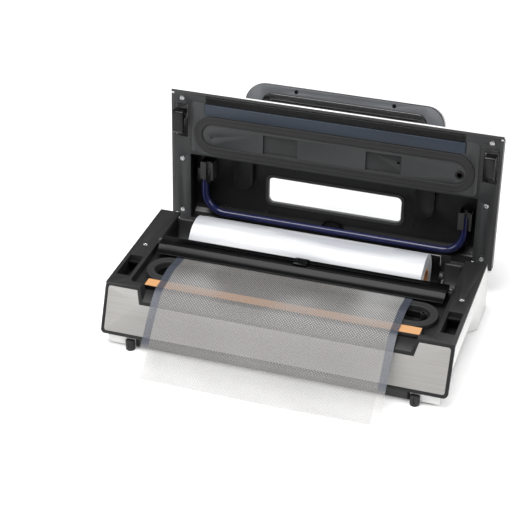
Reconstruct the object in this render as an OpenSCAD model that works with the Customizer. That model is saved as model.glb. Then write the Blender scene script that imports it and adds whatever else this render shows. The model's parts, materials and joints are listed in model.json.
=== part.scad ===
// Clamshell vacuum sealer with a roll store, a sliding cutter and a locking handle.
// X runs to the right, Y to the back and Z up. The feet stand on Z = 0.
// Base parts are drawn from the top edge of the front face; lid parts are drawn closed,
// from the hinge axis and the rim plane, and then turned open.

/* [Body] */
// Width of the base over its sides
body_w = 400; // [380:1:440]
// Height of the deck above the table
deck_z = 70; // [66:1:80]
// Height of the bottom edge of the front face
face_foot = 16; // [12:1:20]
// How far the front face leans out at its foot
face_slope = 24; // [16:1:30]
// Depth of the deck at its sides
deck_d = 168; // [160:1:176]
// Depth over the rear legs
leg_back = 182; // [180:1:186]
// Where the rear legs begin
leg_front = 121; // [112:1:128]
// Wall of the pale lower shell
wall = 3; // [2:0.5:4]
// How far the sides draw in towards the bottom
side_tuck = 10; // [4:1:14]
// Thickness of the deck plate
deck_t = 3.2; // [2.4:0.2:4]

/* [Front panel] */
// Width of the dark border round the steel panel
frame_w = 3.6; // [2:0.2:6]
// Thickness of the steel panel
fascia_t = 1; // [0.6:0.1:1.4]
// How far the film notch stops short of the chamber's ends
notch_in = 16; // [11:1:25]
// Depth of the film notch
notch_drop = 14.6; // [10:0.2:18]

/* [Vacuum chamber] */
// Width of each side arm beside the sunk chamber
arm_w = 25; // [22:1:28]
// Depth of the chamber floor under the deck
well_drop = 9; // [8.5:0.1:10]
// Gap between a gasket's end and the end of the chamber
gasket_in = 5; // [4:1:15]
// Half width of both gaskets
gasket_r = 24; // [22:0.5:24]
// Width of the rubber band of a gasket
gasket_band = 9.5; // [7:0.5:11]
// Height of the lower gasket
gasket_h = 5.8; // [5:0.1:6]
// How far the seal strip stops short of the chamber's ends
strip_in = 16.5; // [11:0.5:25]
// Width of the seal strip
strip_w = 14; // [10:1:14]

/* [Film roll] */
// Width of the film
film_w = 279; // [220:1:280]
// Radius of the full roll
roll_r = 31; // [24:0.5:31.5]
// Outer radius of the cardboard core
core_r = 14.5; // [12:0.5:18]
// Wall of the cardboard core
core_wall = 2.5; // [1.5:0.5:3]
// Radius of the cradle
cradle_r = 33; // [32.5:0.5:33.5]
// Thickness of the film as drawn
film_t = 0.4; // [0.3:0.1:0.5]

/* [Cutter] */
// Room for a bracket at each end of the cutter bar
bar_in = 4.5; // [4:0.5:8]
// Travel of the cutter to each side
cut_travel = 130; // [100:1:134]
// Length of the cutter slider
slider_l = 16; // [12:1:24]

/* [Lid] */
// Angle at which the lid stands open
open_angle = 94; // [80:1:100]
// Height of the hinge axis
hinge_z = 39; // [38:0.5:41]
// Distance of the hinge axis behind the front edge
hinge_y = 172; // [171:0.5:173]
// Radius of the hinge pins
hinge_r = 3; // [2:0.5:4]
// Wall of the lid shell
shell_t = 2.5; // [2:0.5:3]
// Half width of the window
window_half = 83; // [60:1:90]
// Height of the window opening
window_h = 34; // [24:1:36]

/* [Handle and latches] */
// Angle at which the handle stands raised
handle_up = 19; // [10:1:22]
// Half width of the handle
handle_half = 122.5; // [118:0.5:124]
// Radius of the handle pins
pivot_r = 3; // [2:0.5:3.5]
// Stroke of the latch hooks
latch_stroke = 7; // [5:0.5:7]
// Width of a latch hook
hook_w = 13.5; // [10:0.5:14]

/* [Hose and buttons] */
// Radius of the accessory hose
hose_r = 3.1; // [2.5:0.1:3.5]
// Bend radius of the accessory hose
hose_bend = 26; // [20:1:30]
// Radius of a button
button_r = 7; // [5:0.5:8]
// Spacing of the buttons
button_gap = 34; // [26:1:40]

/* [Hidden] */
$fn = 48;
eps = 0.01;

// Clearances between pieces
run_gap = 0.05;
trim_gap = 0.1;
soft_gap = 0.2;
fit_gap = 0.4;
lid_gap = 0.4;

// Places of the base, from the top edge of the front face
face_lean = atan(face_slope / (deck_z - face_foot));
face_len = norm([face_slope, deck_z - face_foot]);
deck_under = deck_z - deck_t;
floor_z = deck_z - well_drop;
floor_t = 2;
well_wall = 2;
pan_z = 3;
pan_t = 2.5;
well_half = body_w / 2 - arm_w;
notch_half = well_half - notch_in;
gasket_half = well_half - gasket_in;
strip_half = well_half - strip_in;
bar_half = well_half - bar_in;
shell_front = -19.4;
shell_back = 174;
tuck_z = 45;
well_y = 9;
gasket_y = 51;
tray_h = 11;
strip_y = 11.6;
film_z = deck_z - 2.7;
strip_top = film_z - 0.6;
wire_half = 1.5;
bar_y = 88;
bar_back = 104.3;
bar_pin = [101, deck_z + 1.5];
bar_pin_r = 1.5;
bar_top = deck_z + 5.5;
bar_under = film_z + film_t + 0.5;
slot_y = 96.5;
trough_y = [105, 171];
trough_half = well_half;
trough_wall = 2;
floor_back = trough_y[0] - trough_wall - soft_gap;
roll_y = 138;
roll_x = -4;
roll_z = 53;
cradle_z = roll_z + cradle_r - roll_r - 0.1;
pocket_x = body_w / 2 - arm_w / 2;
pocket_w = arm_w - 9;
pocket_y = [19, 61];
catch_y = 53;
screw_x = pocket_x + 0.4;
screw_y = 87;
screw_head = 2.9;
screw_shank = 1.4;
foot_x = body_w / 2 - 35.3;
foot_r = 5.4;
pan_screw_x = body_w / 2 - 19;
post_r = 4;
pan_screw_ys = [12, 104];
film_side = film_w / 2 + abs(roll_x);
// Two ribs share the room between each end of the roll and the end wall of its trough
end_room = trough_half - trough_wall - film_side;
end_ribs = [for (share = [[0.22, 0.32], [0.49, 1]]) [film_side + share[0] * end_room,
    film_side + share[1] * end_room - (share[1] == 1 ? trim_gap : 0)]];
inlet_x = body_w / 2 - 80;
film_end = -78;

// Places of the lid: X, distance in front of the hinge axis, height over the rim plane
lid_lift = deck_z + lid_gap - hinge_z;
lid_half = body_w / 2 - 1;
lid_nose = hinge_y + 1.3;
liner_t = 2;
liner_half = lid_half - shell_t - 0.2;
liner_s = [1.2, lid_nose - 5];
tab_half = notch_half - 2.4;
cavity_half = well_half + 1;
cavity_s = [5, 92];
cavity_n = 22;
cavity_r = 17;
plate_s = [94, 161.5];
plate_half = well_half - 1;
plate_t = 1;
seal_n = -2.2;
ring_s = 120.5;
window_s = 50;
rubber_s = [145.8, 159.6];
strip_s = [rubber_s[1] + 1, liner_s[1] - soft_gap];
rib_pitch = 4;
lid_screw_x = body_w / 2 - 13.5;
lid_screw_s = [15, 84, 163];
roof_x = [41.5, 84];
roof_s = [106.7, 130.6];
roof_n = 2.6;
hook_s = [122, 151];
hook_drop = 13.5;
toe_t = 5;
neck_l = 11;
latch_n = liner_t + 0.3;
port_x = gasket_half - 17.1;
port_s = 118.4;
port_r = 3.2;
lug_x = body_w / 2 - 37.5;
lug_w = 24;
lug_r = 8;
lug_room = 6;
pivot_s = 65;
pivot_n = 18;
leg_half = 8;
leg_deep = 4;
leg_gap = 0.6;
tail_room = 2.5;
boss_n = pivot_n - leg_deep - fit_gap;
boss_wall = 1.6;
boss_skin = 1.4;
well_skin = 2;
grip_up = 8;
grip_reach = lid_nose + 6.5 - pivot_s;
grip_w = 11;
grip_fillet = 13;
leg_w = 21;
leg_x = handle_half - leg_w / 2;
pin_half = leg_half + leg_gap + boss_wall;
wide_from = 32;
hose_x = cavity_half - 14;
hose_n = 13.5;
hose_s = 12;
panel_s = 104;
panel_n = 28;
panel_t = 2.4;
panel_half = button_gap * 1.5 + 29.6;
board_n = 20;
board_t = 1.6;
panel_half_s = 22.6;
button_xs = [for (i = [-1.5:1:1.5]) i * button_gap];
clip_l = 18;
clip_s = [53, 61];
clip_half = 8.5;
hose_top = [clip_s[0] + clip_l / 2, clip_s[1] + clip_l / 2];
handle_screw_x = 60;

// The whole part is centred front to back on its widest reach
rear_y = hinge_y + (pivot_s + grip_reach * cos(handle_up)) * cos(open_angle) * -1
    + (lid_lift + pivot_n + grip_reach * sin(handle_up) + grip_up * cos(handle_up)) * sin(open_angle);
front_y = -(film_end + rear_y) / 2;

// ---- Frames and shapes that several pieces share ----

// Base pieces, drawn from the top edge of the front face
module base() translate([0, front_y, 0]) children();

// Lid pieces, drawn closed as [x, distance in front of the hinge, height over the rim plane]
module lid() translate([0, front_y + hinge_y, hinge_z]) rotate([-open_angle, 0, 0])
    translate([0, 0, lid_lift]) mirror([0, 1, 0]) children();

// Handle pieces, drawn from the handle's pins, with Y along its legs
module raised() lid() translate([0, pivot_s, pivot_n]) rotate([handle_up, 0, 0]) children();

// The sloping front face: X along it, Y up the slope from its top edge, Z outwards
module face() translate([0, 0, deck_z]) rotate([90 - face_lean, 0, 0]) children();

module both_sides() {
    children();
    mirror([1, 0, 0]) children();
}

// A profile of [y, z] points carried along X
module along_x(length) rotate([90, 0, 90]) translate([0, 0, -length / 2]) linear_extrude(length)
    children();

module box(x, y, z) translate([x[0], y[0], z[0]]) cube([x[1] - x[0], y[1] - y[0], z[1] - z[0]]);

// A box that is centred on X
module slab(half, y, z) box([-half, half], y, z);

module rounded(half, y, r) {
    translate([-half + r, y[0]]) square([2 * (half - r), y[1] - y[0]]);
    translate([-half, y[0] + r]) square([2 * half, y[1] - y[0] - 2 * r]);
    for (x = [-half + r, half - r], v = [y[0] + r, y[1] - r]) translate([x, v]) circle(r);
}

module stadium(half, r) {
    translate([-half + r, -r]) square([2 * (half - r), 2 * r]);
    for (x = [-half + r, half - r]) translate([x, 0]) circle(r);
}

module ring_band(half, r, band) difference() {
    stadium(half, r);
    stadium(half - band, r - band);
}

function bend2(a, b, c, steps) = [for (i = [0:steps]) let (t = i / steps)
    a * (1 - t) * (1 - t) + b * 2 * t * (1 - t) + c * t * t];
function bend3(a, b, c, d, steps) = [for (i = [0:steps]) let (t = i / steps, u = 1 - t)
    a * u * u * u + b * 3 * u * u * t + c * 3 * u * t * t + d * t * t * t];
function unit(v) = v / norm(v);
function across(v) = [v[1], -v[0]];

// A clockwise outline moved inwards by d
function inset(p, d) = let (n = len(p)) [for (i = [0:n - 1])
    let (a = across(unit(p[i] - p[(i + n - 1) % n])), b = across(unit(p[(i + 1) % n] - p[i])))
    p[i] + d * (a + b) / (1 + a * b)];

// A line of points given a thickness on one side
function banded(p, d) = let (n = len(p), shifted = [for (i = [0:n - 1])
    let (v = across(unit(p[min(i + 1, n - 1)] - p[max(i - 1, 0)]))) p[i] + d * v])
    concat(p, [for (i = [n - 1:-1:0]) shifted[i]]);

// ---- Base ----

function side_outline(back) = [[shell_front, pan_z], [shell_front, face_foot],
    [3.2, deck_under], [back, deck_under], [leg_back, tuck_z + 1], [leg_back, pan_z]];

module body_width(half) along_y() polygon([[-half, deck_z], [half, deck_z],
    [half, tuck_z], [half - side_tuck, 0], [side_tuck - half, 0], [-half, tuck_z]]);

module along_y() translate([0, leg_back + eps, 0]) rotate([90, 0, 0])
    linear_extrude(leg_back - shell_front + 2 * eps) children();

// A rear leg: its front is a slanted face that widens upwards from the tucked-in side
module leg(clear = 0) difference() {
    box([body_w / 2 - 17 + clear, body_w / 2 - clear], [leg_front - 16, leg_back - clear],
        [1.5, deck_under]);
    translate([body_w / 2 - 12, leg_front + 1, 0]) rotate([0, 13.7, -42.7])
        translate([0, -60, -60]) cube([60, 120, 180]);
    translate([body_w / 2 - 30, deck_d, deck_under]) rotate([-atan((deck_under - tuck_z - 1)
        / (leg_back - deck_d)), 0, 0]) cube([60, 60, 30]);
}

module latch_well(clear) translate([pocket_x, (pocket_y[0] + pocket_y[1]) / 2, 0])
    translate([-pocket_w / 2 - clear, -(pocket_y[1] - pocket_y[0]) / 2 - clear, 0])
    square([pocket_w + 2 * clear, pocket_y[1] - pocket_y[0] + 2 * clear]);

module foot_places() both_sides() translate([foot_x, shell_front - 2.5, 0]) children();

module rear_foot_places() both_sides() for (y = [leg_front + 14, leg_back - 9])
    translate([body_w / 2 - 9, y, 0]) children();

module pan_screw_places() both_sides() for (y = pan_screw_ys) translate([pan_screw_x, y, 0])
    children();

module deck_screw_places() both_sides() translate([screw_x, screw_y, 0]) children();

module lower_housing() color([0.80, 0.81, 0.82]) base() difference() {
    union() {
        difference() {
            intersection() {
                along_x(body_w) polygon(side_outline(shell_back));
                body_width(body_w / 2);
            }
            intersection() {
                along_x(body_w) polygon([[shell_front + wall, -eps],
                    [shell_front + wall, face_foot], [8, deck_z], [shell_back - wall, deck_z],
                    [leg_back - wall, tuck_z], [leg_back - wall, -eps]]);
                body_width(body_w / 2 - wall);
            }
            box([-220, 220], [deck_d - 1, 220], [deck_under - 22, 90]);
        }
        both_sides() leg();
        difference() {
            along_x(2 * (body_w / 2 - 17)) polygon([[deck_d - 1, deck_under - 22],
                [deck_d - 1, deck_under], [shell_back, deck_under], [leg_back, tuck_z + 1],
                [leg_back, deck_under - 22]]);
            along_x(2 * (body_w / 2 - 17 - wall)) polygon([[deck_d - 2, deck_under - 23],
                [deck_d - 2, deck_z], [shell_back - 1, deck_z], [leg_back - wall, tuck_z],
                [leg_back - wall, deck_under - 23]]);
        }
        intersection() {
            body_width(body_w / 2);
            both_sides() {
                for (y = pan_screw_ys) {
                    translate([pan_screw_x, y, pan_z + pan_t]) cylinder(r = post_r, h = 34);
                    box([pan_screw_x, body_w / 2], [y - 1, y + 1], [pan_z + pan_t, 36]);
                }
                translate([screw_x, screw_y, 40]) cylinder(r = post_r, h = deck_under - 40);
                box([screw_x, body_w / 2 - 1], [screw_y - 1, screw_y + 1], [40, deck_under]);
            }
        }
    }
    both_sides() box([lug_x - lug_w / 2 - lug_room, lug_x + lug_w / 2 + lug_room], [158, 190], [30, 90]);
    slab(well_half + well_wall + fit_gap, [shell_front - 10, 30], [floor_z - 9, 90]);
    both_sides() translate([0, 0, 48]) linear_extrude(30) latch_well(well_wall + fit_gap);
    foot_places() translate([0, 0, -1]) cylinder(r = foot_r + trim_gap, h = 12.5);
    deck_screw_places() translate([0, 0, 45]) cylinder(r = screw_shank, h = 30);
    pan_screw_places() cylinder(r = 1.5, h = 25);
    translate([-inlet_x - 14, leg_back - 6, 22]) cube([28, 12, 16]);
}

module bottom_pan() color([0.22, 0.22, 0.23]) base() difference() {
    union() {
        slab(body_w / 2 - side_tuck - wall - 1.2, [shell_front + wall + 0.2, leg_back - wall - 0.2],
            [pan_z, pan_z + pan_t]);
        pump_feet() cylinder(r = 4, h = 4.5);
        board_feet() cylinder(r = 3, h = 6);
    }
    foot_places() translate([0, 0, -1]) cylinder(r = foot_r + trim_gap, h = 12.5);
    pan_screw_places() {
        cylinder(r = 1.5, h = 25);
        translate([0, 0, pan_z - 1]) cylinder(r = 3.2, h = 2.2);
    }
    for (x = [-24:6:24]) translate([x, 60, 0]) linear_extrude(20) rotate(90) stadium(22, 1.5);
    both_sides() box([body_w / 2 - 17.2, body_w / 2], [leg_front - 17, leg_back], [0, 20]);
}

module pump_feet() for (x = [-36, 14], y = [22, 72]) translate([x, y, pan_z + 1]) children();
module board_feet() for (x = [-146, -66], y = [18, 74]) translate([x, y, pan_z + 1]) children();

module front_feet() color([0.12, 0.12, 0.12]) base() foot_places() difference() {
    cylinder(r = foot_r, h = 11.4);
    translate([-0.8, -7, 3]) cube([1.6, 2.5, 20]);
}

module rear_feet() color([0.12, 0.12, 0.12]) base() rear_foot_places() cylinder(r = 5.5, h = 1.5);

module notch_outline(grow) polygon([[-notch_half - grow, 1], [notch_half + grow, 1],
    [notch_half - 5 + grow, -notch_drop * face_len / (deck_z - face_foot) - grow],
    [5 - notch_half - grow, -notch_drop * face_len / (deck_z - face_foot) - grow]]);

module top_deck() color([0.24, 0.24, 0.235]) base() difference() {
    union() {
        difference() {
            translate([0, 0, deck_under]) linear_extrude(deck_t) difference() {
                translate([-body_w / 2, 0]) square([body_w, deck_d]);
                rounded(well_half, [well_y, 400], 6);
            }
            both_sides() translate([0, 0, 40]) linear_extrude(60) latch_well(0);
        }
        // Front frame on the slope, and the strip behind its top edge
        face() translate([0, 0, -4]) linear_extrude(4)
            rounded(body_w / 2, [-face_len, 0], 5);
        along_x(2 * (well_half + well_wall)) polygon([[0, deck_z], [well_y, deck_z],
            [well_y + 2, floor_z], [well_y + 2, floor_z - floor_t], [-7, floor_z - 8]]);
        // Chamber floor and its side walls
        slab(well_half + well_wall, [well_y, floor_back], [floor_z - floor_t, floor_z]);
        both_sides() box([well_half, well_half + well_wall], [well_y, deck_d - 8],
            [floor_z - floor_t, deck_z]);
        // Latch pockets
        both_sides() translate([0, 0, 50]) linear_extrude(deck_z - 50) difference() {
            latch_well(well_wall);
            latch_well(0);
        }
        both_sides() translate([0, 0, 48]) linear_extrude(2) latch_well(well_wall);
    }
    face() translate([0, 0, -fascia_t]) linear_extrude(10) difference() {
        rounded(body_w / 2 - frame_w, [-face_len + frame_w, -frame_w], 3);
        notch_outline(frame_w);
    }
    notch_cut();
    translate([0, gasket_y, floor_z - 5]) linear_extrude(9) stadium(gasket_half - gasket_band - 1,
        gasket_r - gasket_band - 1);
    deck_screw_places() cylinder(r = screw_shank + trim_gap, h = 90);
    deck_screw_places() translate([0, 0, deck_z - 1.2]) cylinder(r = screw_head + soft_gap, h = 9);
    face() linear_extrude(30) translate([-250, -100]) square([500, 100]);
}

// The notch, and everything over the ramp that leads the film down to it
module notch_cut() intersection() {
    along_x(2 * notch_half + 2) polygon([[strip_y, floor_z + 0.2],
        [-notch_drop * face_slope / (deck_z - face_foot) - 0.6, deck_z - notch_drop + 0.1],
        [-30, deck_z - notch_drop], [-30, 90], [strip_y, 90]]);
    translate([0, strip_y, 0]) rotate([90, 0, 0]) linear_extrude(60)
        polygon([[-notch_half, deck_z], [-notch_half, 90], [notch_half, 90], [notch_half, deck_z],
            [notch_half - 5, deck_z - notch_drop - 1], [5 - notch_half, deck_z - notch_drop - 1]]);
}

module steel_fascia() color([0.74, 0.73, 0.72]) base() face()
    translate([0, 0, -fascia_t]) linear_extrude(fascia_t) difference() {
        rounded(body_w / 2 - frame_w - 0.1, [-face_len + frame_w + 0.1, -frame_w - 0.1], 2.9);
        notch_outline(frame_w + 0.1);
    }

module drip_tray() color([0.10, 0.10, 0.10]) base() translate([0, gasket_y, 0]) difference() {
    translate([0, 0, floor_z - tray_h]) linear_extrude(tray_h)
        stadium(gasket_half - gasket_band - 1.2, gasket_r - gasket_band - 1.2);
    translate([0, 0, floor_z - tray_h + 1.6]) linear_extrude(tray_h)
        stadium(gasket_half - gasket_band - 2.8, gasket_r - gasket_band - 2.8);
    translate([port_x, hinge_y - port_s - gasket_y, 0]) cylinder(r = port_r + 0.6, h = 90);
}

module lower_gasket() color([0.20, 0.20, 0.20]) base() translate([0, gasket_y, floor_z])
    linear_extrude(gasket_h) ring_band(gasket_half, gasket_r, gasket_band);

module intake_nozzle() color([0.3, 0.3, 0.3]) base()
    translate([port_x, hinge_y - port_s, floor_z - tray_h - 6]) difference() {
        cylinder(r = port_r, h = tray_h + 12);
        translate([0, 0, -1]) cylinder(r = port_r - 1.2, h = 90);
    }

module seal_bar_body() color([0.12, 0.12, 0.12]) base() difference() {
    slab(strip_half + 1.5, [strip_y + 0.1, strip_y + strip_w], [floor_z, strip_top - 0.3]);
    slab(strip_half - 3, [strip_y + strip_w / 2 - wire_half - trim_gap,
        strip_y + strip_w / 2 + wire_half + trim_gap], [strip_top - 0.6, 100]);
}

module heating_wire() color([0.75, 0.72, 0.68]) base() slab(strip_half - 3,
    [strip_y + strip_w / 2 - wire_half, strip_y + strip_w / 2 + wire_half],
    [strip_top - 0.6, strip_top - 0.3]);

module seal_tape() color([0.86, 0.62, 0.36]) base() slab(strip_half,
    [strip_y + 0.4, strip_y + strip_w - 0.3], [strip_top - 0.3, strip_top]);

module cutter_rail() color([0.09, 0.09, 0.09]) base() difference() {
    slab(bar_half - 5.5, [bar_y + 0.5, floor_back - trim_gap], [floor_z, film_z - 0.5]);
    slab(cut_travel + slider_l, [slot_y - 1.2, slot_y + 1.2], [film_z - 2.5, 90]);
}

module cutter_brackets() color([0.14, 0.14, 0.14]) base() both_sides() difference() {
    union() {
        box([bar_half + fit_gap, well_half], [bar_y + 6, floor_back - trim_gap],
            [floor_z, bar_pin[1]]);
        translate([bar_half + fit_gap, bar_pin[0] - 1.3, bar_pin[1]]) rotate([0, 90, 0])
            cylinder(r = 3, h = well_half - bar_half - fit_gap);
    }
    translate([bar_half - 1, bar_pin[0], bar_pin[1]]) rotate([0, 90, 0])
        cylinder(r = bar_pin_r + run_gap, h = well_half);
}

module cradle_inside() {
    translate([roll_y, cradle_z]) circle(cradle_r);
    translate([trough_y[0], cradle_z]) square([trough_y[1] - trough_y[0], 90]);
}

module roll_cradle() color([0.13, 0.13, 0.13]) base() {
    difference() {
        along_x(2 * trough_half) union() {
            intersection() {
                translate([roll_y, cradle_z]) circle(cradle_r + trough_wall);
                translate([0, cradle_z - 90]) square([300, 90]);
            }
            translate([trough_y[0] - trough_wall, cradle_z])
                square([trough_y[1] - trough_y[0] + 2 * trough_wall, film_z - 4 - cradle_z]);
            translate([trough_y[1], cradle_z]) square([trough_wall, deck_under - cradle_z]);
        }
        along_x(2 * (trough_half - trough_wall)) cradle_inside();
        both_sides() box([lug_x - lug_w / 2 - lug_room, lug_x + lug_w / 2 + lug_room], [158, 190], [10, 90]);
    }
    both_sides() for (rib = end_ribs) translate([(rib[0] + rib[1]) / 2, 0, 0])
        along_x(rib[1] - rib[0]) difference() {
            intersection() {
                translate([trough_y[0] - 1, cradle_z - cradle_r - 1]) square([54, 46]);
                union() {
                    translate([roll_y, cradle_z]) circle(cradle_r + 1);
                    translate([trough_y[0] - 1, cradle_z]) square([70, 40]);
                }
            }
            translate([roll_y, roll_z + 12]) circle(roll_r - 3);
        }
}

module hinge_brackets() color([0.16, 0.16, 0.16]) base() both_sides()
    for (x = [lug_x - lug_w / 2 - 5.5, lug_x + lug_w / 2 + 0.5]) translate([x, 0, 0]) difference() {
        union() {
            translate([0, hinge_y, hinge_z]) rotate([0, 90, 0]) cylinder(r = 7, h = 5);
            box([0, 5], [hinge_y - 7, hinge_y + 7], [30, hinge_z]);
            box([0, 5], [158.2, leg_back - wall], [24, 30]);
        }
        translate([-1, hinge_y, hinge_z]) rotate([0, 90, 0]) cylinder(r = hinge_r, h = 9);
    }

module hinge_pins() color([0.7, 0.7, 0.72]) base() both_sides()
    translate([lug_x - lug_w / 2 - 5.5, hinge_y, hinge_z]) rotate([0, 90, 0])
        cylinder(r = hinge_r, h = lug_w + 11);

module catch_plates() color([0.6, 0.6, 0.62]) base() both_sides()
    box([pocket_x - pocket_w / 2, pocket_x + pocket_w / 2], [catch_y, pocket_y[1]],
        [deck_z - 7, deck_z - 4.2]);

module deck_screws() color([0.75, 0.75, 0.76]) base() deck_screw_places() {
    translate([0, 0, 48]) cylinder(r = screw_shank, h = deck_z - 1.2 - 48);
    translate([0, 0, deck_z - 1.2]) cylinder(r = screw_head, h = 1);
}

module bottom_screws() color([0.6, 0.6, 0.6]) base() pan_screw_places() {
    translate([0, 0, pan_z - 0.3]) cylinder(r = 3, h = 1.5);
    translate([0, 0, pan_z + 1.2]) cylinder(r = 1.5, h = 18);
}

module vacuum_pump() color([0.55, 0.56, 0.57]) base() {
    box([-42, 19.9], [18, 76], [8.5, 12]);
    difference() {
        box([-36, 20], [26, 68], [12, 40]);
        translate([20 + eps, 47, 26]) rotate([0, -90, 0]) cylinder(r = 4, h = 8);
    }
    for (x = [-24, 8]) translate([x, 47, 40]) {
        cylinder(r = 9, h = 3);
        cylinder(r = 2.5, h = 6);
    }
}

module pump_motor() color([0.62, 0.62, 0.6]) base() translate([0, 47, 26]) {
    translate([20, 0, 0]) rotate([0, 90, 0]) cylinder(r = 15, h = 42);
    translate([62, 0, 0]) rotate([0, 90, 0]) cylinder(r = 5, h = 4);
    translate([14, 0, 0]) rotate([0, 90, 0]) cylinder(r = 3.9, h = 6);
}

module pipe(r, wall, length) difference() {
    cylinder(r = r, h = length);
    translate([0, 0, -1]) cylinder(r = r - wall, h = length + 2);
}

module elbow(bend, r, wall) rotate_extrude(angle = 90) translate([bend, 0]) difference() {
    circle(r);
    circle(r - wall);
}

// From the pump's front, along the front of the housing, and up into the intake nozzle
module pump_hose() color([0.2, 0.2, 0.2]) base() {
    translate([-8, 26, 33]) rotate([90, 0, 0]) pipe(3.4, 1.2, 6);
    translate([2, 20, 33]) rotate(180) elbow(10, 3.4, 1.2);
    translate([2, 10, 33]) rotate([0, 90, 0]) pipe(3.4, 1.2, port_x - 12);
    translate([port_x - 10, 20, 33]) rotate(270) elbow(10, 3.4, 1.2);
    translate([port_x, 20, 33]) rotate([-90, 0, 0]) pipe(3.4, 1.2, hinge_y - port_s - 30);
    translate([port_x, hinge_y - port_s - 10, 43]) rotate([90, 0, 90]) rotate(270)
        elbow(10, 3.4, 1.2);
    translate([port_x, hinge_y - port_s, 43]) pipe(3.4, 1.2, floor_z - tray_h - 6 - 43);
}

// A foot plate, a core with two windows, and the winding's two ends, left of the pump hose
module transformer() color([0.5, 0.42, 0.3]) base() translate([port_x - 35.9, 50, 0]) {
    slab(29, [-20, 20], [pan_z + pan_t, 8]);
    difference() {
        slab(25, [-16, 16], [8, 44]);
        for (x = [-17, 9]) box([x, x + 8], [-30, 30], [15, 37]);
    }
    for (y = [-22.5, 16.5]) slab(16.8, [y, y + 6], [15.2, 36.8]);
}

module power_board() color([0.16, 0.38, 0.22]) base() {
    box([-152, -60], [12, 80], [10, 11.6]);
    for (x = [-140, -122]) translate([x, 28, 11.6]) cylinder(r = 7, h = 22);
    box([-110, -88], [20, 36], [11.6, 27]);
    box([-80, -68], [18, 50], [11.6, 20]);
    for (y = [50:6:74]) box([-140, -100], [y, y + 2], [11.6, 30]);
    box([-142, -98], [48, 78], [11.6, 13]);
}

module mains_inlet() color([0.10, 0.10, 0.10]) base() translate([-inlet_x, leg_back, 30])
    rotate([90, 0, 0]) difference() {
        union() {
            translate([-13.8, -7.8, 0]) cube([27.6, 15.6, 11.5]);
            translate([0, 0, -1]) linear_extrude(1) rounded(16, [-9.6, 9.6], 3);
        }
        translate([0, 0, -2]) linear_extrude(11) difference() {
            stadium(8.8, 4.6);
            for (x = [-4.2, 4.2]) translate([x, 0]) circle(1.2);
        }
    }

// The pulled-out film: up the front of the roll, under the bar, flat over the seal strip,
// down through the notch and forward onto the table
function film_line() = concat([for (p = [[-roll_r - 0.4, -6], [-roll_r - 0.6, 4]])
        [roll_y + p[0], roll_z + p[1]]],
    bend2([trough_y[0] + 1.2, film_z - 3.2], [trough_y[0] + 1, film_z],
        [trough_y[0] - 2.4, film_z], 5),
    bend3([12, film_z], [-6, film_z - 1], [-45, 20], [film_end, 0.5], 18));

module film_sheet() color([0.85, 0.87, 0.9, 0.6]) base() translate([roll_x, 0, 0])
    along_x(film_w) polygon(banded(film_line(), film_t));

// ---- Roll ----

module on_roll() base() translate([roll_x - film_w / 2, roll_y, roll_z]) rotate([0, 90, 0])
    children();

module film_roll() color([0.9, 0.91, 0.93]) on_roll() difference() {
    cylinder(r = roll_r, h = film_w, $fn = 96);
    translate([0, 0, -1]) cylinder(r = core_r, h = film_w + 2);
}

module roll_core() color([0.72, 0.55, 0.38]) on_roll() difference() {
    cylinder(r = core_r, h = film_w);
    translate([0, 0, -1]) cylinder(r = core_r - core_wall, h = film_w + 2);
}

// ---- Cutter ----

module cutter_bar() color([0.16, 0.16, 0.165]) base() {
    difference() {
        along_x(2 * bar_half) union() {
            translate([bar_y, bar_under + 1.2]) square([bar_pin[0] - bar_y, bar_top - bar_under - 1.2]);
            translate([bar_y + 1.2, bar_under]) square([bar_pin[0] - bar_y - 1.2, 2]);
            translate(bar_pin) circle(bar_back - bar_pin[0]);
            translate(bar_pin) square([bar_back - bar_pin[0], bar_top - bar_pin[1]]);
        }
        slab(cut_travel + slider_l / 2 + 2, [slot_y - 1.3, slot_y + 1.3], [0, 100]);
    }
    both_sides() translate([bar_half, bar_pin[0], bar_pin[1]]) rotate([0, 90, 0])
        cylinder(r = bar_pin_r, h = well_half - bar_half);
}

module cutter_slider() color([0.22, 0.22, 0.22]) base() {
    along_x(slider_l) polygon([[bar_y + 1.5, bar_top + 0.05], [bar_back - 1, bar_top + 0.05],
        [bar_back - 1, bar_top + 2], [slot_y + 3, bar_top + 3.6], [slot_y - 3, bar_top + 3.6],
        [bar_y + 1.5, bar_top + 2]]);
    for (i = [-1:1]) slab_at(i * slider_l / 4, 0.8, [slot_y - 3, slot_y + 3],
        [bar_top + 3.6, bar_top + 4.4]);
    slab(slider_l / 2 - 1, [slot_y - 1.2, slot_y + 1.2], [bar_under + 1, bar_top + 0.1]);
}

module slab_at(x, half, y, z) translate([x, 0, 0]) slab(half, y, z);

module cutter_blade() color([0.8, 0.8, 0.82]) base() translate([0, slot_y + 0.2, 0])
    rotate([90, 0, 0]) linear_extrude(0.4) polygon([[-5, bar_under + 1], [5, bar_under + 1],
        [2, film_z + film_t + 0.2], [-2, film_z + film_t + 0.2]]);

// ---- Lid ----

// Outer outline of the lid from the side, with its rim carried down by the given depth
function lid_outline(depth) = concat([[-2, -depth]], bend2([-2, 0], [0, 27], [45, 32], 10),
    [for (p = bend2([45, 32], [118, 41], [152, 23.5], 12)) if (p[0] > 45.5) p],
    [[lid_nose, 3.5], [lid_nose, -depth]]);

module lid_body(cut = 0, depth = 0) intersection() {
    along_x(2 * (lid_half - cut)) polygon(cut > 0 ? inset(lid_outline(depth), cut)
        : lid_outline(depth));
    translate([0, 0, -60]) linear_extrude(120)
        rounded(lid_half - cut, [-2 + cut, lid_nose - cut], max(4.5 - cut, 1.5));
}

module lid_screw_places() both_sides() for (s = lid_screw_s) translate([lid_screw_x, s, 0])
    children();

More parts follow.
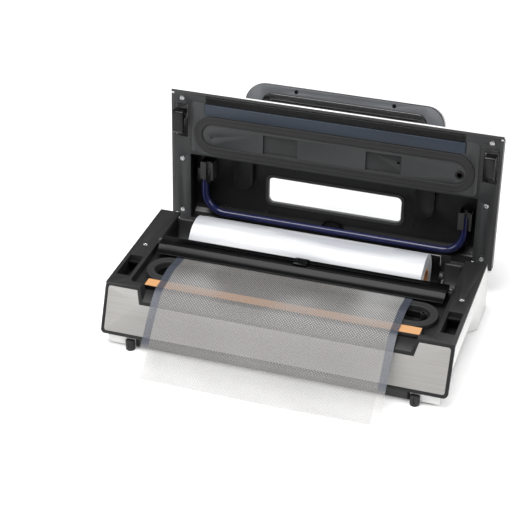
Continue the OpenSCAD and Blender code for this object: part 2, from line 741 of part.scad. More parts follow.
// The wells of the handle's legs: round at the pins, and wide under the broad part of the legs
module channel(grow, low, high) both_sides() translate([0, 0, low]) linear_extrude(high - low) {
    translate([leg_x, pivot_s - tail_room]) circle(leg_half + leg_gap + grow);
    translate([leg_x - leg_half - leg_gap - grow, pivot_s - tail_room])
        square([2 * (leg_half + leg_gap + grow), 30]);
    translate([leg_x - leg_w / 2 - leg_gap - grow, 92]) square([leg_w + 2 * (leg_gap + grow), 98]);
    translate([leg_x - leg_w / 2 - leg_gap - grow, pivot_s + grip_reach - grip_w - grip_fillet])
        polygon([[0, -3], [-2.6, 9], [-2.6, 34], [0, 34]]);
}

module lid_shell() color([0.80, 0.81, 0.82]) lid() difference() {
    union() {
        difference() {
            lid_body();
            lid_body(shell_t, 30);
        }
        intersection() {
            lid_body();
            union() {
                channel(boss_wall, boss_n - boss_wall, 60);
                slab(window_half + 5, [window_s - window_h / 2 - 7, window_s + window_h / 2 + 7],
                    [cavity_n + 2.2, 60]);
                slab(panel_half + 3.4, [panel_s - panel_half_s - 3.4, panel_s + panel_half_s + 3.4],
                    [panel_n - shell_t, 60]);
                lid_screw_places() translate([0, 0, liner_t]) cylinder(r = 3.4, h = 60);
                for (x = [-1, 1], s = [panel_s - 5, panel_s + 19])
                    translate([x * (panel_half - 8.6), s, board_n + board_t]) cylinder(r = 2.5, h = 10);
            }
        }
    }
    channel(0, boss_n, 80);
    slab(window_half + 3, [window_s - window_h / 2 - 5, window_s + window_h / 2 + 5],
        [cavity_n + 4.6, 80]);
    slab(window_half, [window_s - window_h / 2, window_s + window_h / 2], [0, 80]);
    slab(panel_half + fit_gap, [panel_s - panel_half_s - fit_gap, panel_s + panel_half_s + fit_gap],
        [panel_n, 80]);
    for (x = button_xs) translate([x, panel_s, 0]) cylinder(r = button_r + 1, h = 80);
    lid_screw_places() cylinder(r = 1.3, h = 14);
    both_sides() translate([leg_x - pin_half, pivot_s, pivot_n]) rotate([0, 90, 0])
        cylinder(r = pivot_r, h = 2 * pin_half);
}

// The dark inner face of the lid, with two shallow pockets in the chamber's roof
module lid_frame() color([0.26, 0.26, 0.255]) lid() difference() {
    union() {
        linear_extrude(liner_t) difference() {
            union() {
                rounded(liner_half, [liner_s[0], liner_s[1]], 3);
                both_sides() translate([tab_half, liner_s[1] - 20])
                    square([liner_half - tab_half, lid_nose - shell_t - 0.3 - liner_s[1] + 20]);
            }
            translate([-cavity_half, cavity_s[0]])
                square([2 * cavity_half, cavity_s[1] - cavity_s[0]]);
            both_sides() translate([pocket_x - hook_w / 2 - 1.5, hook_s[0] - latch_stroke - 1.5])
                square([hook_w + 3, hook_s[1] - hook_s[0] + latch_stroke + 6]);
        }
        both_sides() box([roof_x[0] - 2, roof_x[1] + 2], [roof_s[0] - 2, roof_s[1] + 2],
            [0, roof_n + 1.6]);
    }
    both_sides() box(roof_x, roof_s, [-1, roof_n]);
    translate([roof_x[1] - 4, ring_s, 0]) cylinder(r = 1.6, h = 9);
    lid_screw_places() {
        cylinder(r = 1.6, h = 9);
        translate([0, 0, -1]) cylinder(r = 3.2, h = 2);
    }
    translate([port_x, port_s, -1]) cylinder(r = 5.2, h = 20);
}

// The deep well behind that face, over the roll, with a rounded skin over each handle pivot
module lid_well() color([0.26, 0.26, 0.255]) lid() difference() {
    intersection() {
        along_x(2 * (cavity_half + well_skin)) cavity_side(well_skin);
        lid_body(shell_t + trim_gap, 30);
        slab(lid_half, [-10, lid_nose], [liner_t, 60]);
    }
    difference() {
        along_x(2 * cavity_half) cavity_side(0);
        channel(boss_wall + soft_gap + boss_skin, boss_n - boss_wall - soft_gap - boss_skin, 60);
    }
    slab(window_half, [window_s - window_h / 2, window_s + window_h / 2], [0, 80]);
    slab(window_half + 3, [window_s - window_h / 2 - 3, window_s + window_h / 2 + 3],
        [cavity_n + 1, 80]);
    channel(boss_wall + soft_gap, boss_n - boss_wall - soft_gap, 60);
}

// The cavity from the side, with a large curve at its rear top corner
module cavity_side(grow) {
    intersection() {
        translate([cavity_s[0] + cavity_r, cavity_n - cavity_r]) circle(cavity_r + grow);
        translate([cavity_s[0] - grow, 0]) square(cavity_n + grow);
    }
    translate([cavity_s[0] - grow, 0]) square([cavity_s[1] - cavity_s[0] + 2 * grow,
        cavity_n - cavity_r]);
    translate([cavity_s[0] + cavity_r, 0]) square([cavity_s[1] - cavity_s[0] - cavity_r + grow,
        cavity_n + grow]);
}

module lid_hinge_arms() color([0.26, 0.26, 0.255]) lid() both_sides() difference() {
    translate([lug_x, 0, 0]) along_x(lug_w) union() {
        translate([0, -lid_lift]) circle(lug_r);
        translate([-1.8, -lid_lift]) square([cavity_s[0] + 1.6, lid_lift]);
    }
    translate([lug_x - 30, 0, -lid_lift]) rotate([0, 90, 0]) cylinder(r = hinge_r + run_gap, h = 60);
}

module window_pane() color([0.8, 0.88, 0.9, 0.35]) lid() translate([0, 0, cavity_n + 1])
    linear_extrude(1.2) rounded(window_half + 2.8,
        [window_s - window_h / 2 - 2.8, window_s + window_h / 2 + 2.8], 3);

module chamber_plate() color([0.28, 0.28, 0.275]) lid() translate([0, 0, -plate_t])
    linear_extrude(plate_t) difference() {
        rounded(plate_half, plate_s, 6);
        translate([0, ring_s]) ring_band(gasket_half + 0.2, gasket_r + 0.2, gasket_band + 0.4);
        translate([-tab_half - 1, rubber_s[0] - soft_gap]) square([2 * tab_half + 2, 30]);
        both_sides() translate([roof_x[0], roof_s[0]])
            square([roof_x[1] - roof_x[0], roof_s[1] - roof_s[0]]);
        translate([21.6 - gasket_half, ring_s - 3]) circle(1.6);
        translate([port_x, port_s]) circle(5.2);
    }

module upper_gasket() color([0.22, 0.22, 0.22]) lid() translate([0, ring_s, seal_n])
    linear_extrude(-seal_n) ring_band(gasket_half, gasket_r, gasket_band);

module pressing_rubber() color([0.24, 0.27, 0.32]) lid()
    slab(tab_half + 0.6, rubber_s, [seal_n, 0]);

module ridged_strip() color([0.10, 0.10, 0.10]) lid() {
    slab(tab_half - 0.8, strip_s, [-0.6, 0]);
    for (x = [2.6 - tab_half:rib_pitch:tab_half - 2.6]) slab_at(x, 0.6,
        [strip_s[0] + 0.3, strip_s[1] - 0.4], [-1.2, -0.6]);
}

module vacuum_port() color([0.14, 0.14, 0.14]) lid() translate([port_x, port_s, -1.4])
    difference() {
        cylinder(r = 5, h = 13.4);
        translate([0, 0, -1]) cylinder(r = port_r, h = 13.4);
    }

module hose_clips() color([0.12, 0.12, 0.12]) lid() for (side = [0, 1]) mirror([side == 0 ? 0 : 1, 0, 0])
    translate([hose_x, clip_s[side], 0]) difference() {
        box([-clip_half, clip_half], [-clip_l / 2, clip_l / 2], [9, cavity_n]);
        translate([0, clip_l, hose_n]) rotate([90, 0, 0]) cylinder(r = hose_r + run_gap, h = 2 * clip_l);
        box([-hose_r + 0.6, hose_r - 0.6], [-clip_l, clip_l], [0, hose_n]);
    }

module accessory_hose() color([0.14, 0.15, 0.36]) lid() translate([0, 0, hose_n]) {
    translate([-hose_x + hose_bend, hose_s, 0]) rotate([0, 90, 0])
        cylinder(r = hose_r, h = 2 * (hose_x - hose_bend));
    for (side = [0, 1]) mirror([side == 0 ? 0 : 1, 0, 0]) {
        translate([hose_x - hose_bend, hose_s + hose_bend, 0]) rotate(270)
            rotate_extrude(angle = 90) translate([hose_bend, 0]) circle(hose_r);
        translate([hose_x, hose_s + hose_bend, 0]) rotate([-90, 0, 0])
            cylinder(r = hose_r, h = hose_top[side] - hose_s - hose_bend);
    }
}

module hose_fittings() color([0.08, 0.08, 0.08]) lid() for (side = [0, 1])
    mirror([side == 0 ? 0 : 1, 0, 0]) translate([hose_x, hose_top[side], hose_n])
    rotate([-90, 0, 0]) {
        cylinder(r = hose_r + 1.2, h = 3);
        cylinder(r = hose_r, h = 8);
    }

module lid_screws() color([0.75, 0.75, 0.76]) lid() lid_screw_places() {
    translate([0, 0, 0.2]) cylinder(r = 2.9, h = 0.8);
    cylinder(r = 1.3, h = 12);
}

module handle_pins() color([0.6, 0.6, 0.62]) lid() both_sides()
    translate([leg_x - pin_half, pivot_s, pivot_n]) rotate([0, 90, 0])
        cylinder(r = pivot_r, h = 2 * pin_half);

module control_panel() color([0.12, 0.12, 0.125]) lid() difference() {
    translate([0, 0, panel_n]) linear_extrude(panel_t)
        rounded(panel_half, [panel_s - panel_half_s, panel_s + panel_half_s], 4);
    for (x = button_xs) translate([x, panel_s, 0]) cylinder(r = button_r + 0.3, h = 80);
}

module control_board() color([0.16, 0.38, 0.22]) lid() {
    slab(panel_half - 4.6, [panel_s - 9, panel_s + 23], [board_n, board_n + board_t]);
    for (x = button_xs) translate([x, panel_s, board_n + board_t]) cylinder(r = 2.4, h = 1);
}

module button(i) color([0.72, 0.72, 0.73]) lid() translate([button_xs[i], panel_s, 0]) {
    translate([0, 0, panel_n + 0.4]) cylinder(r = button_r, h = panel_t + 1.2);
    translate([0, 0, board_n + 4.5]) cylinder(r = 2, h = panel_n - board_n - 4);
}
module button_1() button(0);
module button_2() button(1);
module button_3() button(2);
module button_4() button(3);

// ---- Latches, which slide together towards the hinge ----

module latch_bar() color([0.5, 0.5, 0.52]) lid()
    slab(pocket_x + hook_w / 2, [hook_s[1] - neck_l, hook_s[1] - 1], [latch_n, latch_n + 4]);

module latch_hooks() color([0.17, 0.17, 0.175]) lid() both_sides()
    translate([pocket_x, 0, 0]) along_x(hook_w) polygon([[hook_s[1] - neck_l, latch_n],
        [hook_s[1] - 1, latch_n], [hook_s[1] - 1, -4], [hook_s[1], -7],
        [hook_s[1], -hook_drop + 1.5], [hook_s[1] - 1.5, -hook_drop], [hook_s[0] + 3, -hook_drop],
        [hook_s[0], -hook_drop + 2], [hook_s[0], -hook_drop + toe_t],
        [hook_s[1] - neck_l, -hook_drop + toe_t]]);

// ---- Handle ----

module handle_outline(trim) {
    difference() {
        union() {
            translate([0, -10]) rounded(handle_half - trim, [0, grip_reach + 10 - trim], 24 - trim);
        }
        translate([0, -40]) rounded(handle_half - leg_w + trim,
            [0, grip_reach - grip_w + 40 + trim], grip_fillet + trim);
        translate([-200, -20]) square([400, wide_from + 20]);
    }
    both_sides() {
        translate([leg_x - leg_half + trim, 0]) square([2 * (leg_half - trim), wide_from + 1]);
        translate([leg_x, 0]) circle(leg_half - trim);
    }
}

module handle_screw_places() for (x = [-handle_screw_x, handle_screw_x])
    translate([x, grip_reach - grip_w / 2, 0]) children();

module handle_grip() color([0.13, 0.13, 0.135]) raised() difference() {
    union() {
        translate([0, 0, 1 - leg_deep]) linear_extrude(grip_up + leg_deep - 2) handle_outline(0);
        translate([0, 0, grip_up - 1]) linear_extrude(1) handle_outline(1);
    }
    translate([-200, 0, 0]) rotate([0, 90, 0]) cylinder(r = pivot_r + run_gap, h = 400);
    // The tail is cut so that it clears the channel when the handle is raised
    rotate([-handle_up, 0, 0]) translate([-200, -60, -20 - leg_deep]) cube([400, 60, 20]);
    handle_screw_places() translate([0, 0, -10]) cylinder(r = 1.4, h = 14);
}

module handle_cover() color([0.37, 0.37, 0.385]) raised() difference() {
    translate([0, 0, -leg_deep]) linear_extrude(1) handle_outline(0.8);
    handle_screw_places() translate([0, 0, -10]) cylinder(r = 2.5, h = 20);
    translate([-200, -30, -20]) cube([400, 30 + 10, 40]);
}

module handle_screws() color([0.75, 0.75, 0.76]) raised() handle_screw_places() {
    translate([0, 0, -leg_deep + 0.3]) cylinder(r = 2.4, h = 0.7);
    translate([0, 0, 1 - leg_deep]) cylinder(r = 1.4, h = 6);
}

lower_housing();
bottom_pan();
front_feet();
rear_feet();
top_deck();
steel_fascia();
drip_tray();
lower_gasket();
intake_nozzle();
seal_bar_body();
heating_wire();
seal_tape();
cutter_rail();
cutter_brackets();
roll_cradle();
hinge_brackets();
hinge_pins();
catch_plates();
deck_screws();
bottom_screws();
vacuum_pump();
pump_motor();
pump_hose();
transformer();
power_board();
mains_inlet();
film_sheet();
film_roll();
roll_core();
cutter_bar();
cutter_slider();
cutter_blade();
lid_shell();
lid_frame();
lid_well();
lid_hinge_arms();
window_pane();
chamber_plate();
upper_gasket();
pressing_rubber();
ridged_strip();
vacuum_port();
hose_clips();
accessory_hose();
hose_fittings();
lid_screws();
handle_pins();
control_panel();
control_board();
button_1();
button_2();
button_3();
button_4();
latch_bar();
latch_hooks();
handle_grip();
handle_cover();
handle_screws();
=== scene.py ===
# Countertop vacuum sealer: finishes, film, roll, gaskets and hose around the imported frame.
import json
import math
import bpy
import bmesh
import numpy as np
from mathutils import Matrix, Vector


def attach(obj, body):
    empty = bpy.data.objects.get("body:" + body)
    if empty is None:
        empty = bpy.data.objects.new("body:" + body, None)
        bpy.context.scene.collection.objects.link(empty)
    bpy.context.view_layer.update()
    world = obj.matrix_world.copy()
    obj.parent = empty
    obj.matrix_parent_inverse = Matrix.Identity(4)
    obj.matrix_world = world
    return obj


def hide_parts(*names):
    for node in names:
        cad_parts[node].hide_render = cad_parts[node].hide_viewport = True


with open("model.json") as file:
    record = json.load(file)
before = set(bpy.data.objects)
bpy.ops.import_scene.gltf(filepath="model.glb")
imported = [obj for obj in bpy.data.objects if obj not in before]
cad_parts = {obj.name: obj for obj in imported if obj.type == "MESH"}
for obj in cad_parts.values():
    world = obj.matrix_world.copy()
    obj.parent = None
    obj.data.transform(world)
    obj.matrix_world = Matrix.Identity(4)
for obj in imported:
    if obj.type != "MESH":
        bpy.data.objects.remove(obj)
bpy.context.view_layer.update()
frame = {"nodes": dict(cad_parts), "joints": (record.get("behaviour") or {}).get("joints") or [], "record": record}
nodes = frame["nodes"]
bodyOf = {n: b for b, names in frame["record"]["behaviour"]["bodies"].items() for n in names}
slotOf = {row["node"]: row["material_slot"] for row in frame["record"]["subparts"]}
jointOf = {j["name"]: j for j in frame["joints"]}
mm = 0.001
print("frame loaded:", len(nodes), "nodes")


cameraSet = {
    "place": (433.3 * mm, -1423.5 * mm, 1021.6 * mm),
    "azimuth": 18.572,      # degrees, to the object's right
    "elevation": 32.592,    # degrees above the table
    "roll": -0.274,
    "lens": 105.07,         # millimetres on a 36 mm sensor
}


def placeCamera(s):
    data = bpy.data.cameras.new("camera")
    data.lens = s["lens"]
    data.sensor_width = 36.0
    data.clip_end = 20.0
    cam = bpy.data.objects.new("camera", data)
    turn = (Matrix.Rotation(math.radians(s["azimuth"]), 4, "Z")
            @ Matrix.Rotation(math.radians(90 - s["elevation"]), 4, "X")
            @ Matrix.Rotation(math.radians(s["roll"]), 4, "Z"))
    cam.matrix_world = Matrix.Translation(s["place"]) @ turn
    bpy.context.scene.collection.objects.link(cam)
    bpy.context.scene.camera = cam


lightSet = {
    "world": 0.25,
    "lamps": [
        # name, place, size, watts
        ("topSoftbox", (-0.25, -0.45, 1.7), 1.2, 32.0),
        ("leftSoftbox", (-1.5, -1.1, 0.9), 1.0, 14.0),
        ("rightSoftbox", (1.5, -0.4, 1.0), 1.0, 11.0),
        ("backSoftbox", (0.1, 1.6, 1.2), 1.2, 9.0),
    ],
    "floorWhite": 0.93, "floorGlow": 0.12,
}


def lightRoom(s):
    scene = bpy.context.scene
    scene.view_settings.view_transform = "Standard"
    world = bpy.data.worlds.new("studio")
    scene.world = world
    world.use_nodes = True
    tree = world.node_tree
    tree.nodes.clear()
    path = tree.nodes.new("ShaderNodeLightPath")
    seen = tree.nodes.new("ShaderNodeMath")
    seen.operation = "MAXIMUM"
    tree.links.new(path.outputs["Is Camera Ray"], seen.inputs[0])
    tree.links.new(path.outputs["Is Transmission Ray"], seen.inputs[1])
    lit = tree.nodes.new("ShaderNodeBackground")
    lit.inputs["Color"].default_value = (1, 1, 1, 1)
    lit.inputs["Strength"].default_value = s["world"]
    white = tree.nodes.new("ShaderNodeBackground")
    white.inputs["Color"].default_value = (1, 1, 1, 1)
    mix = tree.nodes.new("ShaderNodeMixShader")
    out = tree.nodes.new("ShaderNodeOutputWorld")
    tree.links.new(seen.outputs[0], mix.inputs[0])
    tree.links.new(lit.outputs[0], mix.inputs[1])
    tree.links.new(white.outputs[0], mix.inputs[2])
    tree.links.new(mix.outputs[0], out.inputs[0])
    for name, place, size, watts in s["lamps"]:
        data = bpy.data.lights.new(name, "AREA")
        data.size = size
        data.energy = watts
        lamp = bpy.data.objects.new(name, data)
        lamp.location = place
        aim = Vector((0, 0, 0.08)) - Vector(place)
        lamp.rotation_euler = aim.to_track_quat("-Z", "Y").to_euler()
        scene.collection.objects.link(lamp)


def layFloor(s):
    # A large square under the feet; what the camera sees of it is white where no shadow falls
    mesh = bpy.data.meshes.new("floor")
    reach = 6.0
    corners = [(-reach, -reach, 0), (reach, -reach, 0), (reach, reach, 0), (-reach, reach, 0)]
    mesh.from_pydata(corners, [], [(0, 1, 2, 3)])
    floor = bpy.data.objects.new("floor", mesh)
    bpy.context.scene.collection.objects.link(floor)
    mat = bpy.data.materials.new("floorWhite")
    mat.use_nodes = True
    tree = mat.node_tree
    tree.nodes.clear()
    out = tree.nodes.new("ShaderNodeOutputMaterial")
    diffuse = tree.nodes.new("ShaderNodeBsdfDiffuse")
    diffuse.inputs["Color"].default_value = (s["floorWhite"],) * 3 + (1,)
    glow = tree.nodes.new("ShaderNodeEmission")
    glow.inputs["Strength"].default_value = s["floorGlow"]
    path = tree.nodes.new("ShaderNodeLightPath")
    seen = tree.nodes.new("ShaderNodeMath")
    seen.operation = "MAXIMUM"
    tree.links.new(path.outputs["Is Camera Ray"], seen.inputs[0])
    tree.links.new(path.outputs["Is Transmission Ray"], seen.inputs[1])
    part = tree.nodes.new("ShaderNodeMixShader")
    both = tree.nodes.new("ShaderNodeAddShader")
    tree.links.new(diffuse.outputs[0], both.inputs[0])
    tree.links.new(glow.outputs[0], both.inputs[1])
    tree.links.new(seen.outputs[0], part.inputs[0])
    tree.links.new(diffuse.outputs[0], part.inputs[1])
    tree.links.new(both.outputs[0], part.inputs[2])
    tree.links.new(part.outputs[0], out.inputs[0])
    floor.data.materials.append(mat)


placeCamera(cameraSet)
lightRoom(lightSet)
layFloor(lightSet)
print("camera, light and floor in place")


def linear(rgb):
    # sRGB numbers from 0 to 255 as the linear colour that a shader takes
    c = np.asarray(rgb, float) / 255
    c = np.where(c <= 0.04045, c / 12.92, ((c + 0.055) / 1.055) ** 2.4)
    return (float(c[0]), float(c[1]), float(c[2]), 1.0)


def startMaterial(name):
    mat = bpy.data.materials.new(name)
    mat.use_nodes = True
    tree = mat.node_tree
    shader = tree.nodes["Principled BSDF"]
    return mat, tree, shader


def noiseAt(tree, coords, scale, detail=2.0, stretch=None):
    source = coords
    if stretch:
        turn = tree.nodes.new("ShaderNodeMapping")
        turn.inputs["Scale"].default_value = stretch
        tree.links.new(coords, turn.inputs["Vector"])
        source = turn.outputs[0]
    noise = tree.nodes.new("ShaderNodeTexNoise")
    noise.inputs["Scale"].default_value = scale
    noise.inputs["Detail"].default_value = detail
    tree.links.new(source, noise.inputs["Vector"])
    return noise.outputs["Fac"]


def rampBetween(tree, factor, low, high, start=0.3, end=0.7):
    ramp = tree.nodes.new("ShaderNodeValToRGB")
    ramp.color_ramp.elements[0].position = start
    ramp.color_ramp.elements[0].color = low
    ramp.color_ramp.elements[1].position = end
    ramp.color_ramp.elements[1].color = high
    tree.links.new(factor, ramp.inputs[0])
    return ramp.outputs[0]


def spread(tree, factor, low, high):
    change = tree.nodes.new("ShaderNodeMapRange")
    change.inputs["To Min"].default_value = low
    change.inputs["To Max"].default_value = high
    tree.links.new(factor, change.inputs["Value"])
    return change.outputs[0]


def bumpFrom(tree, shader, height, strength, distance):
    bump = tree.nodes.new("ShaderNodeBump")
    bump.inputs["Strength"].default_value = strength
    bump.inputs["Distance"].default_value = distance
    tree.links.new(height, bump.inputs["Height"])
    tree.links.new(bump.outputs[0], shader.inputs["Normal"])


def moulded(name, s):
    # Moulded plastic or rubber: a little colour drift, a fine spark texture and uneven gloss
    mat, tree, shader = startMaterial(name)
    coords = tree.nodes.new("ShaderNodeTexCoord").outputs["Object"]
    low = linear([c * s.get("drift", 0.93) for c in s["colour"]])
    high = linear([min(255, c * (2 - s.get("drift", 0.93))) for c in s["colour"]])
    broad = noiseAt(tree, coords, 14.0, 3.0)
    tree.links.new(rampBetween(tree, broad, low, high), shader.inputs["Base Color"])
    fine = noiseAt(tree, coords, s.get("grain", 1800.0), 1.0)
    tree.links.new(spread(tree, broad, s["rough"] - 0.05, s["rough"] + 0.06),
                   shader.inputs["Roughness"])
    bumpFrom(tree, shader, fine, s.get("bump", 0.25), s.get("depth", 0.00008))
    shader.inputs["Specular IOR Level"].default_value = s.get("specular", 0.5)
    shader.inputs["Coat Weight"].default_value = s.get("coat", 0.0)
    shader.inputs["Coat Roughness"].default_value = 0.12
    return mat


def satinSteel(name, s):
    # Sheet steel brushed along X
    mat, tree, shader = startMaterial(name)
    coords = tree.nodes.new("ShaderNodeTexCoord").outputs["Object"]
    brush = noiseAt(tree, coords, 900.0, 2.0, stretch=(0.015, 1.0, 1.0))
    broad = noiseAt(tree, coords, 9.0, 2.0)
    low = linear([c * s.get("drift", 0.94) for c in s["colour"]])
    high = linear([min(255, c * 1.04) for c in s["colour"]])
    tree.links.new(rampBetween(tree, brush, low, high), shader.inputs["Base Color"])
    tree.links.new(spread(tree, broad, s["rough"] - 0.04, s["rough"] + 0.04),
                   shader.inputs["Roughness"])
    bumpFrom(tree, shader, brush, s.get("bump", 0.12), 0.00005)
    shader.inputs["Metallic"].default_value = s.get("metallic", 0.9)
    return mat


def wovenTape(name, s):
    # Amber seal tape: a fine plain weave under a smooth face
    mat, tree, shader = startMaterial(name)
    coords = tree.nodes.new("ShaderNodeTexCoord").outputs["Object"]
    warp = tree.nodes.new("ShaderNodeTexWave")
    warp.bands_direction = "X"
    warp.inputs["Scale"].default_value = 260.0
    weft = tree.nodes.new("ShaderNodeTexWave")
    weft.bands_direction = "Y"
    weft.inputs["Scale"].default_value = 260.0
    both = tree.nodes.new("ShaderNodeMath")
    both.operation = "ADD"
    for wave, socket in ((warp, 0), (weft, 1)):
        tree.links.new(coords, wave.inputs["Vector"])
        tree.links.new(wave.outputs["Fac"], both.inputs[socket])
    half = tree.nodes.new("ShaderNodeMath")
    half.operation = "MULTIPLY"
    half.inputs[1].default_value = 0.5
    tree.links.new(both.outputs[0], half.inputs[0])
    tree.links.new(rampBetween(tree, half.outputs[0], linear(s["dark"]), linear(s["light"])),
                   shader.inputs["Base Color"])
    bumpFrom(tree, shader, half.outputs[0], 0.2, 0.00005)
    shader.inputs["Roughness"].default_value = 0.42
    return mat


def clearPane(name, s):
    mat, tree, shader = startMaterial(name)
    coords = tree.nodes.new("ShaderNodeTexCoord").outputs["Object"]
    smudge = noiseAt(tree, coords, 30.0, 3.0)
    shader.inputs["Base Color"].default_value = linear(s["colour"])
    tree.links.new(spread(tree, smudge, 0.03, 0.09), shader.inputs["Roughness"])
    shader.inputs["Alpha"].default_value = s["alpha"]
    shader.inputs["IOR"].default_value = 1.49
    return mat


def mathNode(tree, kind, a, b=None):
    node = tree.nodes.new("ShaderNodeMath")
    node.operation = kind
    for k, value in enumerate((a, b)):
        if value is None:
            continue
        if isinstance(value, (int, float)):
            node.inputs[k].default_value = value
        else:
            tree.links.new(value, node.inputs[k])
    return node.outputs[0]


def stepBetween(tree, value, low, high):
    # 0 below low, 1 above high, and smooth between
    change = tree.nodes.new("ShaderNodeMapRange")
    change.interpolation_type = "SMOOTHSTEP"
    change.inputs["From Min"].default_value = low
    change.inputs["From Max"].default_value = high
    tree.links.new(value, change.inputs["Value"])
    return change.outputs[0]


def mixColours(tree, factor, a, b):
    mix = tree.nodes.new("ShaderNodeMix")
    mix.data_type = "RGBA"
    tree.links.new(factor, mix.inputs[0])
    for k, value in ((6, a), (7, b)):
        if isinstance(value, tuple):
            mix.inputs[k].default_value = value
        else:
            tree.links.new(value, mix.inputs[k])
    return mix.outputs[2]


def embossedFilm(name, s):
    # Hazy film from its own flat coordinates: u runs across and v along, both in metres.
    # Diamonds are |sin(u + v) * sin(u - v)|: pale ridges in a clearer ground. A smooth welded
    # seam runs along each side, and fades with the ridges where the film nears its loose end
    mat, tree, shader = startMaterial(name)

    def add(a, b):
        return mathNode(tree, "ADD", a, b)

    def less(a, b):
        return mathNode(tree, "SUBTRACT", a, b)

    def times(a, b):
        return mathNode(tree, "MULTIPLY", a, b)

    uv = tree.nodes.new("ShaderNodeUVMap")
    uv.uv_map = "flat"
    parts = tree.nodes.new("ShaderNodeSeparateXYZ")
    tree.links.new(uv.outputs[0], parts.inputs[0])
    u, v = parts.outputs[0], parts.outputs[1]
    turn = math.pi / s["pitch"]
    rising = mathNode(tree, "SINE", times(add(u, v), turn))
    falling = mathNode(tree, "SINE", times(less(u, v), turn))
    diamond = mathNode(tree, "ABSOLUTE", times(rising, falling))
    loose = stepBetween(tree, v, *s["looseEnd"])
    kept = less(1.0, times(loose, s["looseFade"]))
    diamond = add(times(diamond, kept), times(loose, s["looseEven"]))
    side = mathNode(tree, "MINIMUM", u, less(s["width"], u))
    seam = less(1.0, stepBetween(tree, side, s["seam"] - s["seamEdge"], s["seam"] + s["seamEdge"]))
    coords = tree.nodes.new("ShaderNodeTexCoord").outputs["Object"]
    creases = noiseAt(tree, coords, 26.0, 4.0, stretch=(0.45, 1.0, 1.0))
    cling = noiseAt(tree, coords, 11.0, 1.0, stretch=(0.8, 1.0, 1.0))
    # Painted gloss highlight: near the bar, broad whitish patches of colour and haze stand in for the sheen on the
    # film's hump
    paintedGloss = times(less(1.0, stepBetween(tree, v, *s["stretched"])),
                  stepBetween(tree, cling, *s["cling"]))
    body = mixColours(tree, diamond, linear(s["ground"]), linear(s["ridge"]))
    body = mixColours(tree, times(paintedGloss, s["milkShare"]), body, linear(s["milk"]))
    weld = mixColours(tree, loose, linear(s["seamColour"]), linear(s["ridge"]))
    tree.links.new(mixColours(tree, seam, body, weld), shader.inputs["Base Color"])
    haze = add(times(diamond, s["ridgeHaze"]), s["groundHaze"])
    haze = add(haze, times(paintedGloss, s["milkHaze"]))
    haze = less(haze, times(loose, s["looseClear"]))
    haze = add(haze, times(less(creases, 0.5), s["drift"]))
    weldHaze = less(s["seamHaze"], times(loose, s["seamHaze"] * s["looseFade"]))
    mix = tree.nodes.new("ShaderNodeMix")
    tree.links.new(seam, mix.inputs[0])
    tree.links.new(haze, mix.inputs[2])
    tree.links.new(weldHaze, mix.inputs[3])
    tree.links.new(mix.outputs[0], shader.inputs["Alpha"])
    tree.links.new(spread(tree, creases, 0.26, 0.42), shader.inputs["Roughness"])
    ridgeHeight, creaseHeight = s["heights"]
    height = add(times(diamond, ridgeHeight), times(creases, creaseHeight))
    bumpFrom(tree, shader, height, 0.28, 0.0001)
    shader.inputs["Specular IOR Level"].default_value = 0.6
    return mat


def woundFilmMaterial(name, s):
    # White wound film: streaks along the roll where the layers cling, and a soft gloss
    mat, tree, shader = startMaterial(name)
    coords = tree.nodes.new("ShaderNodeTexCoord").outputs["Object"]
    streak = noiseAt(tree, coords, 60.0, 4.0, stretch=(0.10, 1.0, 1.0))
    broad = noiseAt(tree, coords, 16.0, 2.0, stretch=(0.3, 1.0, 1.0))
    both = mathNode(tree, "ADD", mathNode(tree, "MULTIPLY", streak, 0.6),
                    mathNode(tree, "MULTIPLY", broad, 0.4))
    tree.links.new(rampBetween(tree, both, linear(s["dark"]), linear(s["light"]), 0.4, 0.58),
                   shader.inputs["Base Color"])
    tree.links.new(spread(tree, streak, 0.16, 0.34), shader.inputs["Roughness"])
    bumpFrom(tree, shader, both, 0.25, 0.0004)
    shader.inputs["Subsurface Weight"].default_value = 0.15
    shader.inputs["Subsurface Radius"].default_value = (0.004, 0.004, 0.005)
    return mat


